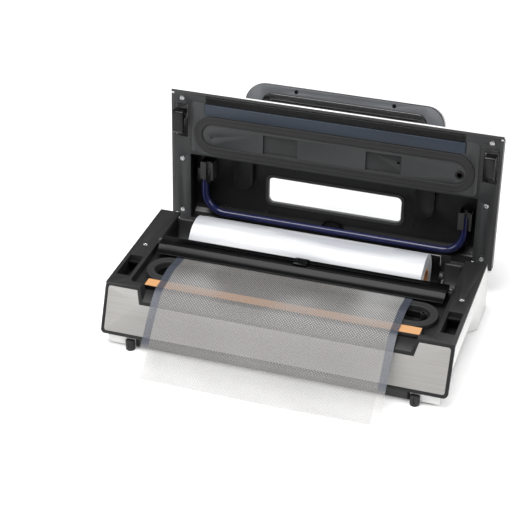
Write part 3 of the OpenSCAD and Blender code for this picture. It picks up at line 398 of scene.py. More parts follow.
finishes = {
    "shell": (moulded, {"colour": (228, 228, 227), "rough": 0.42, "bump": 0.15}),
    "deck": (moulded, {"colour": (46, 46, 46), "rough": 0.42}),
    "black": (moulded, {"colour": (16, 16, 17), "rough": 0.32, "specular": 0.35}),
    "rubber_foot": (moulded, {"colour": (36, 36, 36), "rough": 0.7}),
    "gasket": (moulded, {"colour": (38, 38, 38), "rough": 0.6, "grain": 1400.0, "specular": 0.35}),
    "press_rubber": (moulded, {"colour": (38, 46, 58), "rough": 0.42, "specular": 0.4}),
    "steel_panel": (satinSteel, {"colour": (160, 158, 155), "rough": 0.5, "metallic": 0.25,
                                 "drift": 0.985, "bump": 0.012}),
    "steel": (satinSteel, {"colour": (190, 190, 192), "rough": 0.25}),
    "alloy": (satinSteel, {"colour": (180, 180, 182), "rough": 0.45}),
    "tape": (wovenTape, {"dark": (186, 132, 84), "light": (214, 166, 116)}),
    "film": (embossedFilm, {
        "width": 0.279, "seam": 0.0088, "seamEdge": 0.0004, "pitch": 0.0033,
        "looseEnd": (0.180, 0.192), "looseFade": 0.7, "looseEven": 0.28, "looseClear": 0.10,
        # The span, patch mask, share, haze and whitish colour of the patches near the bar paint a gloss highlight
        # onto the film
        "stretched": (0.075, 0.14), "cling": (0.42, 0.66), "milkShare": 0.6,
        "groundHaze": 0.20, "ridgeHaze": 0.27, "milkHaze": 0.16, "seamHaze": 0.52, "drift": 0.16,
        "ground": (122, 121, 121), "ridge": (172, 169, 166), "milk": (204, 204, 204),
        "seamColour": (76, 81, 93),
        "heights": (0.35, 5.0),     # of the ridges and of the creases, in tenths of a millimetre
    }),
    "rolled_film": (woundFilmMaterial, {"dark": (176, 178, 184), "light": (218, 218, 219)}),
    "card": (moulded, {"colour": (188, 140, 100), "rough": 0.85, "drift": 0.85}),
    "cutter": (moulded, {"colour": (5, 5, 6), "rough": 0.22, "specular": 0.16}),
    "clear": (clearPane, {"colour": (240, 245, 248), "alpha": 0.12}),
    "hose": (moulded, {"colour": (24, 28, 66), "rough": 0.16, "bump": 0.02}),
    "tube": (moulded, {"colour": (60, 60, 62), "rough": 0.5}),
    "core_metal": (satinSteel, {"colour": (150, 128, 96), "rough": 0.5}),
    "board": (moulded, {"colour": (40, 110, 66), "rough": 0.4}),
    "intake": (moulded, {"colour": (30, 30, 31), "rough": 0.3, "specular": 0.4}),
    "panel": (moulded, {"colour": (24, 24, 25), "rough": 0.15, "bump": 0.02, "coat": 0.4}),
    "key": (moulded, {"colour": (176, 177, 180), "rough": 0.35}),
    "grip": (moulded, {"colour": (26, 26, 27), "rough": 0.16, "bump": 0.03, "coat": 0.5}),
    "grip_face": (moulded, {"colour": (78, 80, 84), "rough": 0.42}),
}
materials = {slot: make(slot, s) for slot, (make, s) in finishes.items()}

# Pieces that are darker, lighter or smoother than their slot's finish
ownFinish = {
    # lid_well is the lid frame's own plastic; its darker colour is painted shade for the deep cavity
    "lid_well": (moulded, {"colour": (20, 20, 21), "rough": 0.28, "specular": 0.3}),
    "top_deck": (moulded, {"colour": (34, 34, 35), "rough": 0.4, "specular": 0.35}),
    "latch_hooks": (moulded, {"colour": (14, 14, 15), "rough": 0.2, "specular": 0.3}),
    "chamber_plate": (moulded, {"colour": (52, 53, 54), "rough": 0.4, "specular": 0.4}),
    "lid_frame": (moulded, {"colour": (42, 43, 44), "rough": 0.38, "specular": 0.4}),
    # catch_plates are near black as painted shade: they sit deep in pockets that the light hardly reaches
    "catch_plates": (moulded, {"colour": (16, 16, 17), "rough": 0.3, "specular": 0.3}),
    "lid_screws": (satinSteel, {"colour": (176, 176, 178), "rough": 0.22}),
    # handle_screws are dark as painted shade: they stand for the shade inside the holes they sit in
    "handle_screws": (satinSteel, {"colour": (30, 30, 32), "rough": 0.3}),
}
ownMaterials = {name: make(name, s) for name, (make, s) in ownFinish.items()}


def materialOf(name):
    return ownMaterials.get(name) or materials[slotOf[name]]


def finishNode(name):
    data = nodes[name].data
    data.materials.clear()
    data.materials.append(materialOf(name))


for nodeName in nodes:
    finishNode(nodeName)
print("materials made:", len(materials))


# How the pieces are made

frontY = -100.108 * mm     # the front face's top edge, in the object's frame
mergeGap = 2e-6            # points of a node's mesh nearer than this are one


def newPiece(name, points, faces, body, slot, stands=(), smooth=True, uv=None, paint=None):
    mesh = bpy.data.meshes.new(name)
    mesh.from_pydata(np.asarray(points, float).tolist(), [], np.asarray(faces).tolist())
    mesh.update()
    if uv is not None:
        layer = mesh.uv_layers.new(name="flat")
        index = np.zeros(len(mesh.loops), np.int32)
        mesh.loops.foreach_get("vertex_index", index)
        layer.data.foreach_set("uv", np.asarray(uv, float)[index].ravel())
    if smooth:
        mesh.shade_smooth()
    piece = bpy.data.objects.new(name, mesh)
    bpy.context.scene.collection.objects.link(piece)
    mesh.materials.append(paint or materials[slot])
    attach(piece, body)
    if stands:
        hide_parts(*stands)
    return piece


def gridFaces(rows, columns, wrapRows=False, wrapColumns=False):
    # Quads over rows by columns of points, closed round either way where asked
    r = np.arange(rows if wrapRows else rows - 1)
    c = np.arange(columns if wrapColumns else columns - 1)
    r, c = np.meshgrid(r, c, indexing="ij")
    r2, c2 = (r + 1) % rows, (c + 1) % columns
    quads = np.stack([r * columns + c, r * columns + c2, r2 * columns + c2, r2 * columns + c], -1)
    return quads.reshape(-1, 4)


def joined(parts):
    # Several (points, quads) as one
    points, faces, count = [], [], 0
    for p, f in parts:
        p = np.asarray(p, float).reshape(-1, 3)
        points.append(p)
        faces.append(np.asarray(f) + count)
        count += len(p)
    return np.concatenate(points), np.concatenate(faces)


def thickened(piece, thick, offset=0):
    # A sheet given a wall in millimetres: half to each side, or all behind it where offset is -1
    wall = piece.modifiers.new("wall", "SOLIDIFY")
    wall.thickness = thick * mm
    wall.offset = offset
    return piece


def closedBar(name, rings, body, slot):
    # Rings of one section carried along x, with both ends closed to a middle point
    caps = [np.broadcast_to(rings[k].mean(0), rings[0].shape) for k in (0, -1)]
    grid = np.concatenate([caps[0][None], rings, caps[1][None]])
    return newPiece(name, grid.reshape(-1, 3),
                    gridFaces(len(grid), rings.shape[1], wrapColumns=True), body, slot)


def bezier(points, count=60):
    # A Bezier curve of any degree from its first control point to its last
    t = np.linspace(0, 1, count)[:, None]
    top = len(points) - 1
    return sum(math.comb(top, k) * (1 - t) ** (top - k) * t ** k * np.array(p, float)
               for k, p in enumerate(points))


def smoothStep(x):
    x = np.clip(x, 0, 1)
    return x * x * (3 - 2 * x)


def mergedMesh(name):
    mesh = nodes[name].data.copy()
    work = bmesh.new()
    work.from_mesh(mesh)
    bmesh.ops.remove_doubles(work, verts=work.verts, dist=mergeGap)
    bmesh.ops.dissolve_limit(work, angle_limit=math.radians(0.6), verts=work.verts,
                             edges=work.edges)
    work.to_mesh(mesh)
    work.free()
    return mesh


# The open lid's own frame

lidHinge = Vector(jointOf["lid_hinge"]["pos_m"])
lidTurn = math.radians(94)
rimLift = 31.4 * mm     # from the hinge axis to the rim plane
noseSlope = 0.939       # how much lower the lid's nose gets for each millimetre forward


def onLid(x, s, n):
    # Across, in front of the hinge, and over the rim plane, all in millimetres
    x, s, n = np.broadcast_arrays(np.asarray(x, float), np.asarray(s, float), np.asarray(n, float))
    y, z = -s * mm, rimLift + n * mm
    c, d = math.cos(-lidTurn), math.sin(-lidTurn)
    return np.stack([x * mm, lidHinge.y + y * c - z * d, lidHinge.z + y * d + z * c], -1)


def onBase(x, y, z):
    x, y, z = np.broadcast_arrays(np.asarray(x, float), np.asarray(y, float), np.asarray(z, float))
    return np.stack([x * mm, y * mm + frontY, z * mm], -1)


sideDraw = {"from": 150.0, "to": 196.0, "rim": 10.0, "crest": 32.0, "by": 8.0}


def drawIn(mesh, s):
    # The lid's sides lean in above the rim: x moves in by a share of the height over the rim
    count = len(mesh.vertices)
    co = np.zeros(count * 3)
    mesh.vertices.foreach_get("co", co)
    co = co.reshape(-1, 3)
    out = np.array([0, math.sin(lidTurn), math.cos(lidTurn)])
    height = ((co - np.array(lidHinge)) @ out - rimLift) / mm
    share = np.clip((height - s["rim"]) / (s["crest"] - s["rim"]), 0, 1)
    reach = np.clip((np.abs(co[:, 0]) / mm - s["from"]) / (s["to"] - s["from"]), 0, 1)
    co[:, 0] -= np.sign(co[:, 0]) * share * reach * s["by"] * mm
    mesh.vertices.foreach_set("co", co.ravel())
    mesh.update()


def softened(name, width, segments=2, angle=28.0):
    # A node's form with its sharp edges rounded by the given width in millimetres
    mesh = mergedMesh(name)
    piece = bpy.data.objects.new(name + "Finish", mesh)
    bpy.context.scene.collection.objects.link(piece)
    mesh.materials.clear()
    mesh.materials.append(materialOf(name))
    if name == "lid_shell":
        drawIn(mesh, sideDraw)
    mesh.shade_smooth()
    bevel = piece.modifiers.new("edges", "BEVEL")
    bevel.width = width * mm
    bevel.segments = segments
    bevel.limit_method = "ANGLE"
    bevel.angle_limit = math.radians(angle)
    bevel.harden_normals = True
    bevel.use_clamp_overlap = True
    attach(piece, bodyOf[name])
    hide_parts(name)
    return piece


edgeWidths = {
    "lower_housing": 0.8, "top_deck": 0.45, "lid_shell": 0.7, "lid_frame": 0.45, "lid_well": 0.8,
    "chamber_plate": 0.3, "lid_hinge_arms": 0.6, "cutter_bar": 0.5, "cutter_slider": 0.35,
    "latch_hooks": 0.9, "handle_grip": 1.8, "handle_cover": 0.35, "hose_clips": 0.6,
    "roll_cradle": 0.4, "hinge_brackets": 0.5, "control_panel": 0.5, "steel_fascia": 0.25,
    "pressing_rubber": 0.5, "seal_bar_body": 0.4, "front_feet": 0.6, "drip_tray": 0.4,
    "cutter_brackets": 0.4, "bottom_pan": 0.5,
}
for nodeName, edgeWidth in edgeWidths.items():
    softened(nodeName, edgeWidth, 3 if edgeWidth > 1 else 2)
print("edges rounded on", len(edgeWidths), "pieces")


# Film

filmSet = {
    "width": 279.0, "middle": -4.0, "plies": (0.08, 0.36), "columns": 141, "rows": 260,
    # The path's (y, z): up from the roll, over its bend, then level and down to the table
    "riser": [(106.6, 47.0), (106.4, 57.0)],
    "bend": [(106.2, 64.1), (106.0, 67.3), (102.6, 67.3)],
    "fall": [(12.0, 67.3), (-6.0, 66.3), (-44.0, 22.0), (-74.0, 2.0)],
    "skew": 2.5, "hangsFrom": 16.0, "hangsOver": 90.0, "lifted": 0.35,
    # Each ripple's height, waves across, waves along and start
    "ripples": [(0.35, 11, 0.05, 0), (0.25, 23, -0.08, 1)],
    "hump": 3.2, "humpSpan": (14.0, 75.0), "bow": 2.0, "bowLength": 60.0, "table": 0.25,
}


def filmLine(s):
    # The path at equal steps, and how far along it each step is
    line = np.concatenate([np.array(s["riser"]), bezier(s["bend"]), bezier(s["fall"])])
    run = np.concatenate([[0], np.cumsum(np.linalg.norm(np.diff(line, axis=0), axis=1))])
    at = np.linspace(0, run[-1], s["rows"])
    return np.stack([np.interp(at, run, line[:, k]) for k in (0, 1)], -1), at


def makeFilm(s):
    line, run = filmLine(s)
    along = np.gradient(line, axis=0)
    along /= np.linalg.norm(along, axis=1)[:, None]
    up = np.stack([along[:, 1], -along[:, 0]], -1)
    u = np.linspace(0, 1, s["columns"])
    drop = smoothStep((s["hangsFrom"] - line[:, 0]) / s["hangsOver"])[:, None]
    U, R = np.meshgrid(u, run)
    # Sideways drift grows below the strip; a soft wave lifts the hanging part off its line
    x = s["middle"] + (U - 0.5) * s["width"] + s["skew"] * drop
    # Between the bar and the strip it arches: a squared sine along the flat run
    low, high = s["humpSpan"]
    flat = np.clip((line[:, 0] - low) / (high - low), 0, 1)[:, None]
    arch = s["hump"] * np.sin(np.pi * flat) ** 2 * (0.8 + 0.2 * np.sin(U * 7 + 1))
    ripple = sum(h * np.sin(U * across + R * down + start)
                 for h, across, down, start in s["ripples"])
    wave = arch + drop * (ripple + s["lifted"])
    bow = (s["bow"] * smoothStep((R - run[-1] + s["bowLength"]) / s["bowLength"])
           * (1 - (2 * U - 1) ** 2))
    parts, coords = [], []
    for lift in s["plies"]:
        y = line[:, :1] + up[:, :1] * (lift + wave) - bow
        z = np.maximum(line[:, 1:] + up[:, 1:] * (lift + wave), s["table"] + lift)
        parts.append((onBase(x, y, z), gridFaces(s["rows"], s["columns"])))
        coords.append(np.stack([U * s["width"] * mm, R * mm], -1).reshape(-1, 2))
    points, faces = joined(parts)
    film = newPiece("filmSheet", points, faces, "root", "film", ["film_sheet"],
                    uv=np.concatenate(coords))
    return film


makeFilm(filmSet)

rollSet = {
    "left": -143.5, "right": 135.5, "y": 138.0, "z": 53.0, "outer": 31.0, "core": 14.5,
    "inset": 0.3, "step": 0.28, "start": 2.9, "turns": 193, "columns": 90, "rings": 48,
}


def makeRoll(s):
    # A wound roll: its radius falls by a film's thickness each turn, and its ends show the turns
    turns = np.linspace(0, 2 * np.pi, s["turns"])
    skinRadius = s["outer"] - s["inset"]

    def ringAt(x, r, a):
        return onBase(x, s["y"] + r * np.cos(a - s["start"]), s["z"] + r * np.sin(a - s["start"]))

    def fall(a):
        return s["step"] * (1 - a / (2 * np.pi))

    T, X = np.meshgrid(turns, np.linspace(s["left"], s["right"], s["columns"]), indexing="ij")
    radius = skinRadius + fall(T) + 0.10 * np.sin(X * 0.11 + 3 * T) * np.sin(T * 2) ** 2
    parts = [(ringAt(X, radius, T), gridFaces(s["turns"], s["columns"]))]
    A, B = np.meshgrid(turns, np.linspace(0, 1, s["rings"]), indexing="ij")
    radius = s["core"] + (skinRadius - s["core"]) * B + fall(A) * B
    depth = 0.25 * (0.5 + 0.5 * np.sin(B * 95 + A)) + 0.35 * np.sin(B * 9) ** 2
    for side, sign in ((s["left"], 1), (s["right"], -1)):
        parts.append((ringAt(side + sign * depth, radius, A), gridFaces(s["turns"], s["rings"])))
    bore = ringAt(np.array([[s["left"] + 0.4, s["right"] - 0.4]]), s["core"] + 0.02,
                 turns[:, None] + s["start"])
    parts.append((bore, gridFaces(s["turns"], 2)))
    points, faces = joined(parts)
    return newPiece("woundFilm", points, faces, "roll", "rolled_film", ["film_roll"])


makeRoll(rollSet)
print("film and roll made")


# The cutter bar's sloping front, the skirt under the fascia and the handle's finger plate

barFront = {
    "half": 169.8, "even": 160.0, "end": 0.4, "endScale": 0.93,
    "section": [(88.4, 75.2), (87.4, 75.1), (86.6, 74.5), (82.5, 71.6), (78.0, 70.0),
                (75.2, 69.5), (74.6, 69.1), (74.7, 68.6), (75.4, 68.4), (88.4, 68.4)],
}


def makeBarFront(s):
    # One section (y, z) carried along x, a little smaller at both ends
    half = s["half"]
    x = np.array([-half, -half + s["end"], *np.linspace(-s["even"], s["even"], 33),
                  half - s["end"], half])
    section = np.array(s["section"])
    middle = section.mean(0)
    scale = np.ones(len(x))
    scale[[0, -1]] = s["endScale"]
    yz = middle + (section - middle) * scale[:, None, None]
    return closedBar("barFront", onBase(x[:, None], yz[..., 0], yz[..., 1]), "cutter_arm", "cutter")


makeBarFront(barFront)

skirtSet = {"half": 158.6, "z": (2.8, 15.7), "y": (-20.0, -19.3), "edge": 0.6}


def makeSkirt(s):
    # A thin plate with rounded long edges: its section (y, z) is carried along x
    a = np.linspace(0, np.pi, 7)
    y0, y1 = s["y"]
    z0, z1 = s["z"]
    r = s["edge"]
    section = [(y1, z1)] + [(y0 + r - r * np.sin(t), z1 - r + r * np.cos(t)) for t in a[:4]]
    section += [(y0 + r - r * np.sin(t), z0 + r + r * np.cos(t)) for t in a[3:]] + [(y1, z0)]
    section = np.array(section)
    x = np.linspace(-s["half"], s["half"], 41)
    return closedBar("frontSkirt", onBase(x[:, None], section[None, :, 0], section[None, :, 1]),
                     "root", "deck")


makeSkirt(skirtSet)

handleSet = {"pivot": (65.0, 18.0), "raised": 19.0}


def onHandle(x, s, n):
    # Across, along the raised handle from its pins, and over its own middle plane
    lean = math.radians(handleSet["raised"])
    s, n = np.asarray(s, float), np.asarray(n, float)
    return onLid(x, handleSet["pivot"][0] + s * math.cos(lean) - n * math.sin(lean),
                 handleSet["pivot"][1] + s * math.sin(lean) + n * math.cos(lean))


cupSet = {
    "half": 101.6, "top": 103.9, "fillet": 13.0, "low": 85.0, "lip": (8.0, 10.6), "front": -3.4,
    "wall": 9.2, "thick": 1.6, "over": 0.3, "round": 2.0,
    "clear": (9.0, 88.0, noseSlope),
}


def cupLoop(s, inset, count=22):
    # The opening's outline from one foot over both round corners to the other, set in by a distance
    r = max(s["fillet"] - inset, 3.0)
    half, top = s["half"] - inset, s["top"] - inset
    a = np.linspace(0, np.pi / 2, count)
    rise = np.linspace(s["low"], top - r, 6)[:-1]
    left = np.concatenate([np.stack([-half + 0 * rise, rise], -1),
                           np.stack([-half + r - r * np.cos(a), top - r + r * np.sin(a)], -1)])
    across = np.linspace(-half + r, half - r, 50)[1:-1]
    middle = np.stack([across, top + 0 * across], -1)
    return np.concatenate([left, middle, (left * (-1, 1))[::-1]])


def makeCup(s):
    # A quarter ellipse rolls from the flat face into the opening, and a wall closes its back:
    # inset = a sin t, depth = b (1 - cos t); the wall's rows run from that loop to its low edge
    rows = []
    for t in np.linspace(0, np.pi / 2, 12):
        loop = cupLoop(s, s["lip"][0] * math.sin(t) - s["over"])
        depth = s["front"] + s["lip"][1] * (1 - math.cos(t))
        rows.append(np.column_stack([loop, np.full(len(loop), depth)]))
    r = s["round"]
    for t in np.linspace(0, np.pi / 2, 5)[1:]:
        loop = cupLoop(s, s["lip"][0] - s["over"] + r * (1 - math.cos(t)))
        depth = s["wall"] - r + r * math.sin(t)
        rows.append(np.column_stack([loop, np.full(len(loop), depth)]))
    last = rows[-1]
    base = np.column_stack([np.linspace(last[0, 0], last[-1, 0], len(last)),
                            np.full(len(last), s["low"]), np.full(len(last), s["wall"] + 0.4)])
    for t in np.linspace(0, 1, 8)[1:]:
        rows.append(last * (1 - t) + base * t)
    grid = np.stack(rows)
    # Pressed flat, the plate stays clear of the lid's face and of its sloping nose
    face, bend, slope = s["clear"]
    clear = np.minimum(face, face - (grid[..., 1] - bend) * slope)
    depth = np.maximum(grid[..., 2], clear)
    points = onHandle(grid[..., 0], grid[..., 1], depth)
    cup = newPiece("fingerPlate", points.reshape(-1, 3), gridFaces(len(rows), grid.shape[1]),
                   "handle", "grip")
    return thickened(cup, s["thick"], -1)


makeCup(cupSet)
print("bar front, skirt and finger plate made")


# Gaskets and ridged strip

def stadiumPath(half, r, steps=40):
    # Angles and centres round a stadium: x = +-(half - r) + d cos a, y = d sin a
    a = np.concatenate([np.linspace(-np.pi / 2, np.pi / 2, steps),
                        np.linspace(np.pi / 2, 3 * np.pi / 2, steps)])
    side = np.concatenate([np.ones(steps), -np.ones(steps)])
    return a, side * (half - r)


def makeGasket(name, s, place, body, stands):
    a, centre = stadiumPath(s["half"], s["r"])
    # Section from the outer foot, up over two soft lips with a shallow groove, to the inner foot
    d = np.array([0, 0, 0.25, 0.9, 2.2, 3.4, 4.6, 5.6, 6.9, 8.4, 9.2, 9.5, 9.5]) * s["band"] / 9.5
    h = np.array([0, 0.86, 0.95, 1.0, 1.0, 0.93, 0.90, 0.93, 1.0, 1.0, 0.95, 0.86, 0]) * s["height"]
    D, A = np.meshgrid(s["r"] - d, a)
    x = centre[:, None] + D * np.cos(A)
    y = D * np.sin(A)
    H = np.broadcast_to(h, x.shape)
    return newPiece(name, place(x, y, H).reshape(-1, 3), gridFaces(len(a), len(d), wrapRows=True),
                    body, "gasket", stands)


gasketSet = {"half": 170.0, "r": 24.0, "band": 9.5}
makeGasket("deckGasket", dict(gasketSet, height=5.8), lambda x, y, h: onBase(x, 51 + y, 61 + h),
           "root", ["lower_gasket"])
makeGasket("lidGasket", dict(gasketSet, height=2.2), lambda x, y, h: onLid(x, 120.5 - y, -h),
           "lid", ["upper_gasket"])

ribSet = {"half": 155.8, "s": (160.6, 168.1), "pitch": 1.3, "low": 0.5, "high": 1.2}


def makeRibs(s):
    # Fine ribs side by side: height = low + (high - low) * rounded wave of x
    x = np.arange(-s["half"], s["half"] + 1e-6, s["pitch"] / 6)
    wave = np.clip(0.5 + 0.75 * np.cos(2 * np.pi * x / s["pitch"]), 0, 1)
    top = s["low"] + (s["high"] - s["low"]) * wave
    rows = [(s["s"][0], 0 * top), (s["s"][0], top * 0.6), (s["s"][0] + 0.4, top),
            (s["s"][1] - 0.4, top), (s["s"][1], top * 0.6), (s["s"][1], 0 * top)]
    grid = np.stack([onLid(x, at, -h) for at, h in rows])
    return newPiece("ridgedBand", grid.reshape(-1, 3), gridFaces(len(rows), len(x)),
                    "lid", "black", ["ridged_strip"], smooth=False)


makeRibs(ribSet)
print("gaskets and ridged strip made")


# The lid's clip covers, rim bands, window rim and finger recess, and the walls behind the roll

clipSet = {
    # Where each cover stands along x, and its reach along s. The section is (x from the middle, n)
    "covers": [(162.0, 45.0, 67.0), (-158.0, 57.0, 80.0)],
    "section": [(-7.6, 22.0), (-7.6, 7.3), (-1.2, 7.3), (-1.2, 10.5), (5.8, 10.5), (5.8, 7.3),
                (7.6, 7.3), (7.6, 22.0)],
    "thick": 1.2, "edge": 0.3,
}


def makeClipCovers(s):
    # An open channel over each hose clip, with its edges softened
    section = np.array(s["section"])
    for k, (x, low, high) in enumerate(s["covers"]):
        reach = np.linspace(low, high, 4)
        grid = onLid(x + section[None, :, 0], reach[:, None], section[None, :, 1])
        cover = newPiece(f"hoseClipCover{k + 1}", grid.reshape(-1, 3),
                         gridFaces(len(reach), len(section)), "lid", "deck", smooth=False)
        edge = thickened(cover, s["thick"]).modifiers.new("edge", "BEVEL")
        edge.width = s["edge"] * mm
        edge.segments = 2


makeClipCovers(clipSet)

rimSet = {
    "in": 196.0, "x": 199.1, "thick": 0.6, "s": (2.0, 168.0), "depth": 11.0, "nose": 173.3,
    "slope": noseSlope, "low": 2.5, "over": 0.3, "foot": 0.1, "front": (169.9, 173.1),
}


def makeRimBands(s):
    # A dark band laps each side of the lid's rim and narrows with the sloping nose. Its section
    # is an L in (x, n). A flat strip joins both along the front edge
    along = np.linspace(*s["s"], 40)
    top = np.minimum(s["depth"], (s["nose"] - along) * s["slope"] + s["low"])
    outer = s["x"] + s["thick"]
    foot, edge = s["foot"] + 0 * top, -s["over"] + 0 * top
    section = [(s["in"], foot), (s["in"], edge), (outer, edge), (outer, top), (s["x"], top),
               (s["x"], foot)]
    for side, name in ((-1, "rimBandLeft"), (1, "rimBandRight")):
        grid = np.stack([onLid(side * x, along, n) for x, n in section], 1)
        newPiece(name, grid.reshape(-1, 3), gridFaces(len(along), len(section), wrapColumns=True),
                 "lid", "deck", smooth=False)
    x = np.linspace(-outer, outer, 30)
    low, high = s["front"]
    section = [(low, s["foot"]), (low, -s["over"]), (high, -s["over"]), (high, s["foot"])]
    grid = np.stack([onLid(x, at, n) for at, n in section], 1)
    newPiece("rimBandFront", grid.reshape(-1, 3), gridFaces(len(x), len(section), wrapColumns=True),
             "lid", "deck", smooth=False)


makeRimBands(rimSet)

troughSet = {
    "x": (153.3, 174.6), "middle": (138.0, 69.5), "across": 19.4, "deep": 32.0, "wall": 0.8,
}


def makeTroughWalls(s):
    # Behind each cradle the trough's wall rises in half an oval arch
    t = np.linspace(np.radians(8), np.radians(88), 18)
    y = s["middle"][0] + s["across"] * np.sin(t)
    z = s["middle"][1] - s["deep"] * np.cos(t)
    for side, name in ((-1, "troughWallLeft"), (1, "troughWallRight")):
        x = side * np.linspace(*s["x"], 6)
        grid = onBase(x[:, None], y[None, :], z[None, :])
        wall = newPiece(name, grid.reshape(-1, 3), gridFaces(len(x), len(t)), "root", "deck")
        thickened(wall, s["wall"])


makeTroughWalls(troughSet)

linerSet = {
    "troughBackLeft": (-155.5, -137.0), "troughBackRight": (137.0, 155.5),
    "line": [(177.8, 30.0), (177.8, 48.0), (177.8, 66.0)], "thick": 0.5,
}


def makeLiners(s):
    # Thin dark plates at the trough's back beside the roll: each one's x reach, on one line (y, z)
    line = np.array(s["line"])
    for name in ("troughBackLeft", "troughBackRight"):
        grid = onBase(np.linspace(*s[name], 5)[:, None], line[None, :, 0], line[None, :, 1])
        plate = newPiece(name, grid.reshape(-1, 3), gridFaces(len(grid), len(line)), "root", "deck",
                         smooth=False)
        thickened(plate, s["thick"])


makeLiners(linerSet)

windowSet = {
    "half": 83.0, "s": 50.0, "high": 17.0, "corner": 6.5, "lap": 3.0, "face": (21.9, 21.2),
    "deep": 26.3, "thick": 0.5,
}


def roundedLoop(half, high, corner, steps=10):
    # A rectangle with round corners as points (x, s) round its middle
    turn = np.linspace(0, np.pi / 2, steps)
    loop = []
    for k, (sx, sy) in enumerate(((1, 1), (-1, 1), (-1, -1), (1, -1))):
        a = turn + k * np.pi / 2
        loop.append(np.stack([sx * (half - corner) + corner * np.cos(a),
                              sy * (high - corner) + corner * np.sin(a)], -1))
    return np.concatenate(loop)


def makeWindowRim(s):
    # A round-cornered rim inside the window's opening: its section runs from the cavity's roof
    # over the face and into the opening
    inner = roundedLoop(s["half"], s["high"], s["corner"])
    lap = s["lap"]
    outer = roundedLoop(s["half"] + lap, s["high"] + lap, s["corner"] + lap * 0.6)
    rows = [(outer, s["face"][0]), (outer, s["face"][1]), (inner, s["face"][1]), (inner, s["deep"])]
    grid = np.stack([onLid(loop[:, 0], s["s"] + loop[:, 1], n) for loop, n in rows])
    rim = newPiece("windowRim", grid.reshape(-1, 3),
                   gridFaces(len(rows), len(inner), wrapColumns=True), "lid", "deck", smooth=False)
    thickened(rim, s["thick"])


makeWindowRim(windowSet)

recessSet = {
    "radius": 16.0, "s": 8.0, "n": 21.7, "lip": 1.6, "proud": 0.9, "lean": 0.4, "thick": 0.4,
}


def makeRecess(s):
    # A half-round finger recess in the cavity's roof: a flat dish inside a rounded lip
    a = np.linspace(0, np.pi, 40)
    r = np.concatenate([np.linspace(0.5, s["radius"] - s["lip"], 6),
                        s["radius"] - s["lip"] * np.linspace(0.8, 0, 6)])
    rise = np.clip((r - s["radius"] + s["lip"]) / s["lip"], 0, 1)
    n = s["n"] - s["proud"] * np.sin(np.pi * rise)
    # The dish leans away from the outer skin, which curves in towards the hinge
    up = r[:, None] * np.sin(a)
    grid = onLid(r[:, None] * np.cos(a), s["s"] + up, n[:, None] - s["lean"] * (s["radius"] - up))
    # The dish takes the near-black cutter finish as painted shade: it is moulded in the lid well's plastic and
    # reads dark from the shade inside it
    dish = newPiece("fingerRecess", grid.reshape(-1, 3), gridFaces(len(r), len(a)), "lid", "cutter")
    thickened(dish, s["thick"])


makeRecess(recessSet)
print("lid and trough details made")


# Hose

def makeTube(name, path, radius, body, slot, stands, sides=20):
    # A round tube along points, turned without twist from one to the next
    path = np.asarray(path, float)
    along = np.gradient(path, axis=0)
    along /= np.linalg.norm(along, axis=1)[:, None]
    side = np.cross(along[0], [0.3, 0.5, 0.8])
    rings = []
    angle = np.linspace(0, 2 * np.pi, sides, endpoint=False)[:, None]
    for here, way in zip(path, along):
        side = side - way * np.dot(side, way)
        side /= np.linalg.norm(side)
        other = np.cross(way, side)
        rings.append(here + radius * (np.cos(angle) * side + np.sin(angle) * other))
    return newPiece(name, np.concatenate(rings), gridFaces(len(path), sides, wrapColumns=True),
                    body, slot, stands)


hoseSet = {"x": 162.0, "n": 13.5, "s": 12.0, "bend": 26.0, "tops": (62.0, 70.0), "radius": 4.5}


def hosePath(s):
    # Down the lid's left side, across beside the hinge and up the right side, with round corners
    bend, low = s["bend"], s["s"]
    corner = s["x"] - bend
    turn = np.linspace(0, np.pi / 2, 12)
    left = [(-s["x"], at) for at in np.linspace(s["tops"][1], low + bend, 8)]
    left += [(-corner - bend * np.cos(a), low + bend - bend * np.sin(a)) for a in turn[1:]]
    middle = [(x, low) for x in np.linspace(-corner, corner, 20)[1:-1]]
    right = [(corner + bend * np.sin(a), low + bend - bend * np.cos(a)) for a in turn]
    right += [(s["x"], at) for at in np.linspace(low + bend, s["tops"][0], 8)[1:]]
    line = np.array(left + middle + right)
    return onLid(line[:, 0], line[:, 1], s["n"])


makeTube("stowedHose", hosePath(hoseSet), hoseSet["radius"] * mm, "lid", "hose", ["accessory_hose"])
print("hose made")


# Screws

def islands(name):
    # The separate solids of a node, each as an array of its points, from right to left
    work = bmesh.new()
    work.from_mesh(nodes[name].data)
    bmesh.ops.remove_doubles(work, verts=work.verts, dist=mergeGap)
    left, found = set(work.verts), []
    while left:
        seed = [left.pop()]
        group = list(seed)
        while seed:
            for edge in seed.pop().link_edges:
                for v in edge.verts:
                    if v in left:
                        left.remove(v)
                        seed.append(v)
                        group.append(v)
        found.append(np.array([v.co for v in group]))
    work.free()
    return sorted(found, key=lambda points: tuple(np.round(points.min(0) * (-1, 1, 1), 4)))


screwSet = {
    "height": 0.75, "sunk": 0.45, "arm": 0.16, "reach": 0.62, "cut": 0.75, "shank": 1.3,
    "edges": 64, "firstTurn": 0.5, "turnEach": 1.3,
}


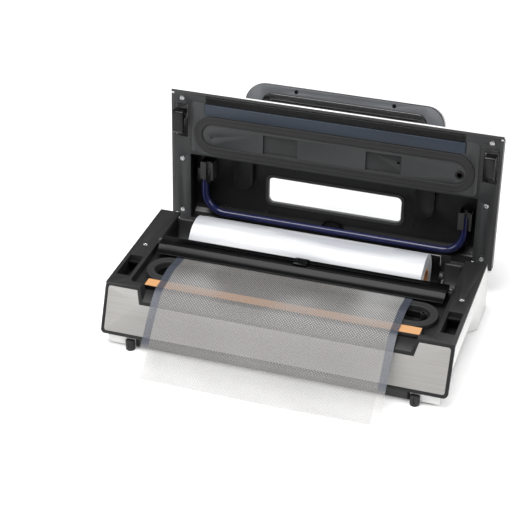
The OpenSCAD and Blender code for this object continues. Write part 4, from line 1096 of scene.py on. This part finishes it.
def screwHead(radius, s):
    # A domed head with a cross recess: the dome falls to the rim, and the arms are cut in
    a = np.linspace(0, 2 * np.pi, s["edges"], endpoint=False)
    r = np.concatenate([np.linspace(0.02, 0.9, 14), [0.96, 1.0, 1.0]]) * radius
    R, A = np.meshgrid(r, a)
    x, y = R * np.cos(A), R * np.sin(A)
    height = s["height"] * mm
    dome = height * (1 - 0.45 * (R / radius) ** 2)
    arm, reach = s["arm"] * radius, s["reach"] * radius
    cross = np.maximum((np.abs(x) < arm) & (np.abs(y) < reach),
                       (np.abs(y) < arm) & (np.abs(x) < reach))
    dome = dome - cross * height * s["cut"]
    dome[:, -1] = -height * 0.4
    return np.stack([x, y, dome], -1), gridFaces(len(a), len(r), wrapRows=True)


def makeScrews(name, axis, headRadius, s=screwSet):
    # New heads on the old places: the end of each solid along the axis carries the head
    axis = np.asarray(axis, float) / np.linalg.norm(axis)
    side = np.cross(axis, [1.0, 0.2, 0.1])
    side /= np.linalg.norm(side)
    other = np.cross(axis, side)
    local, headFaces = screwHead(headRadius * mm, s)
    ring = np.linspace(0, 2 * np.pi, 16, endpoint=False)[:, None]
    shank = s["shank"] * mm * (np.cos(ring) * side + np.sin(ring) * other)
    parts = []
    for k, points in enumerate(islands(name)):
        high = (points @ axis).max()
        head = points[points @ axis > high - 0.05 * mm]
        centre = (head.min(0) + head.max(0)) / 2
        turn = s["firstTurn"] + s["turnEach"] * k
        x = local[..., 0] * math.cos(turn) - local[..., 1] * math.sin(turn)
        y = local[..., 0] * math.sin(turn) + local[..., 1] * math.cos(turn)
        z = local[..., 2] - s["sunk"] * mm
        parts.append((centre + x[..., None] * side + y[..., None] * other + z[..., None] * axis,
                      headFaces))
        low = (points @ axis).min() - high
        ends = [centre + at * axis + shank for at in (-0.5 * mm, low)]
        parts.append((np.stack(ends), gridFaces(2, len(ring), wrapColumns=True)))
    points, faces = joined(parts)
    return newPiece(name.replace("_s", "S") + "Cross", points, faces, bodyOf[name], "steel", [name],
                    paint=materialOf(name))


lidOut = onLid(0, 0, -1) - onLid(0, 0, 0)
makeScrews("deck_screws", (0, 0, 1), 2.9)
makeScrews("bottom_screws", (0, 0, -1), 3.0)
makeScrews("lid_screws", lidOut, 2.9)
print("screws made")
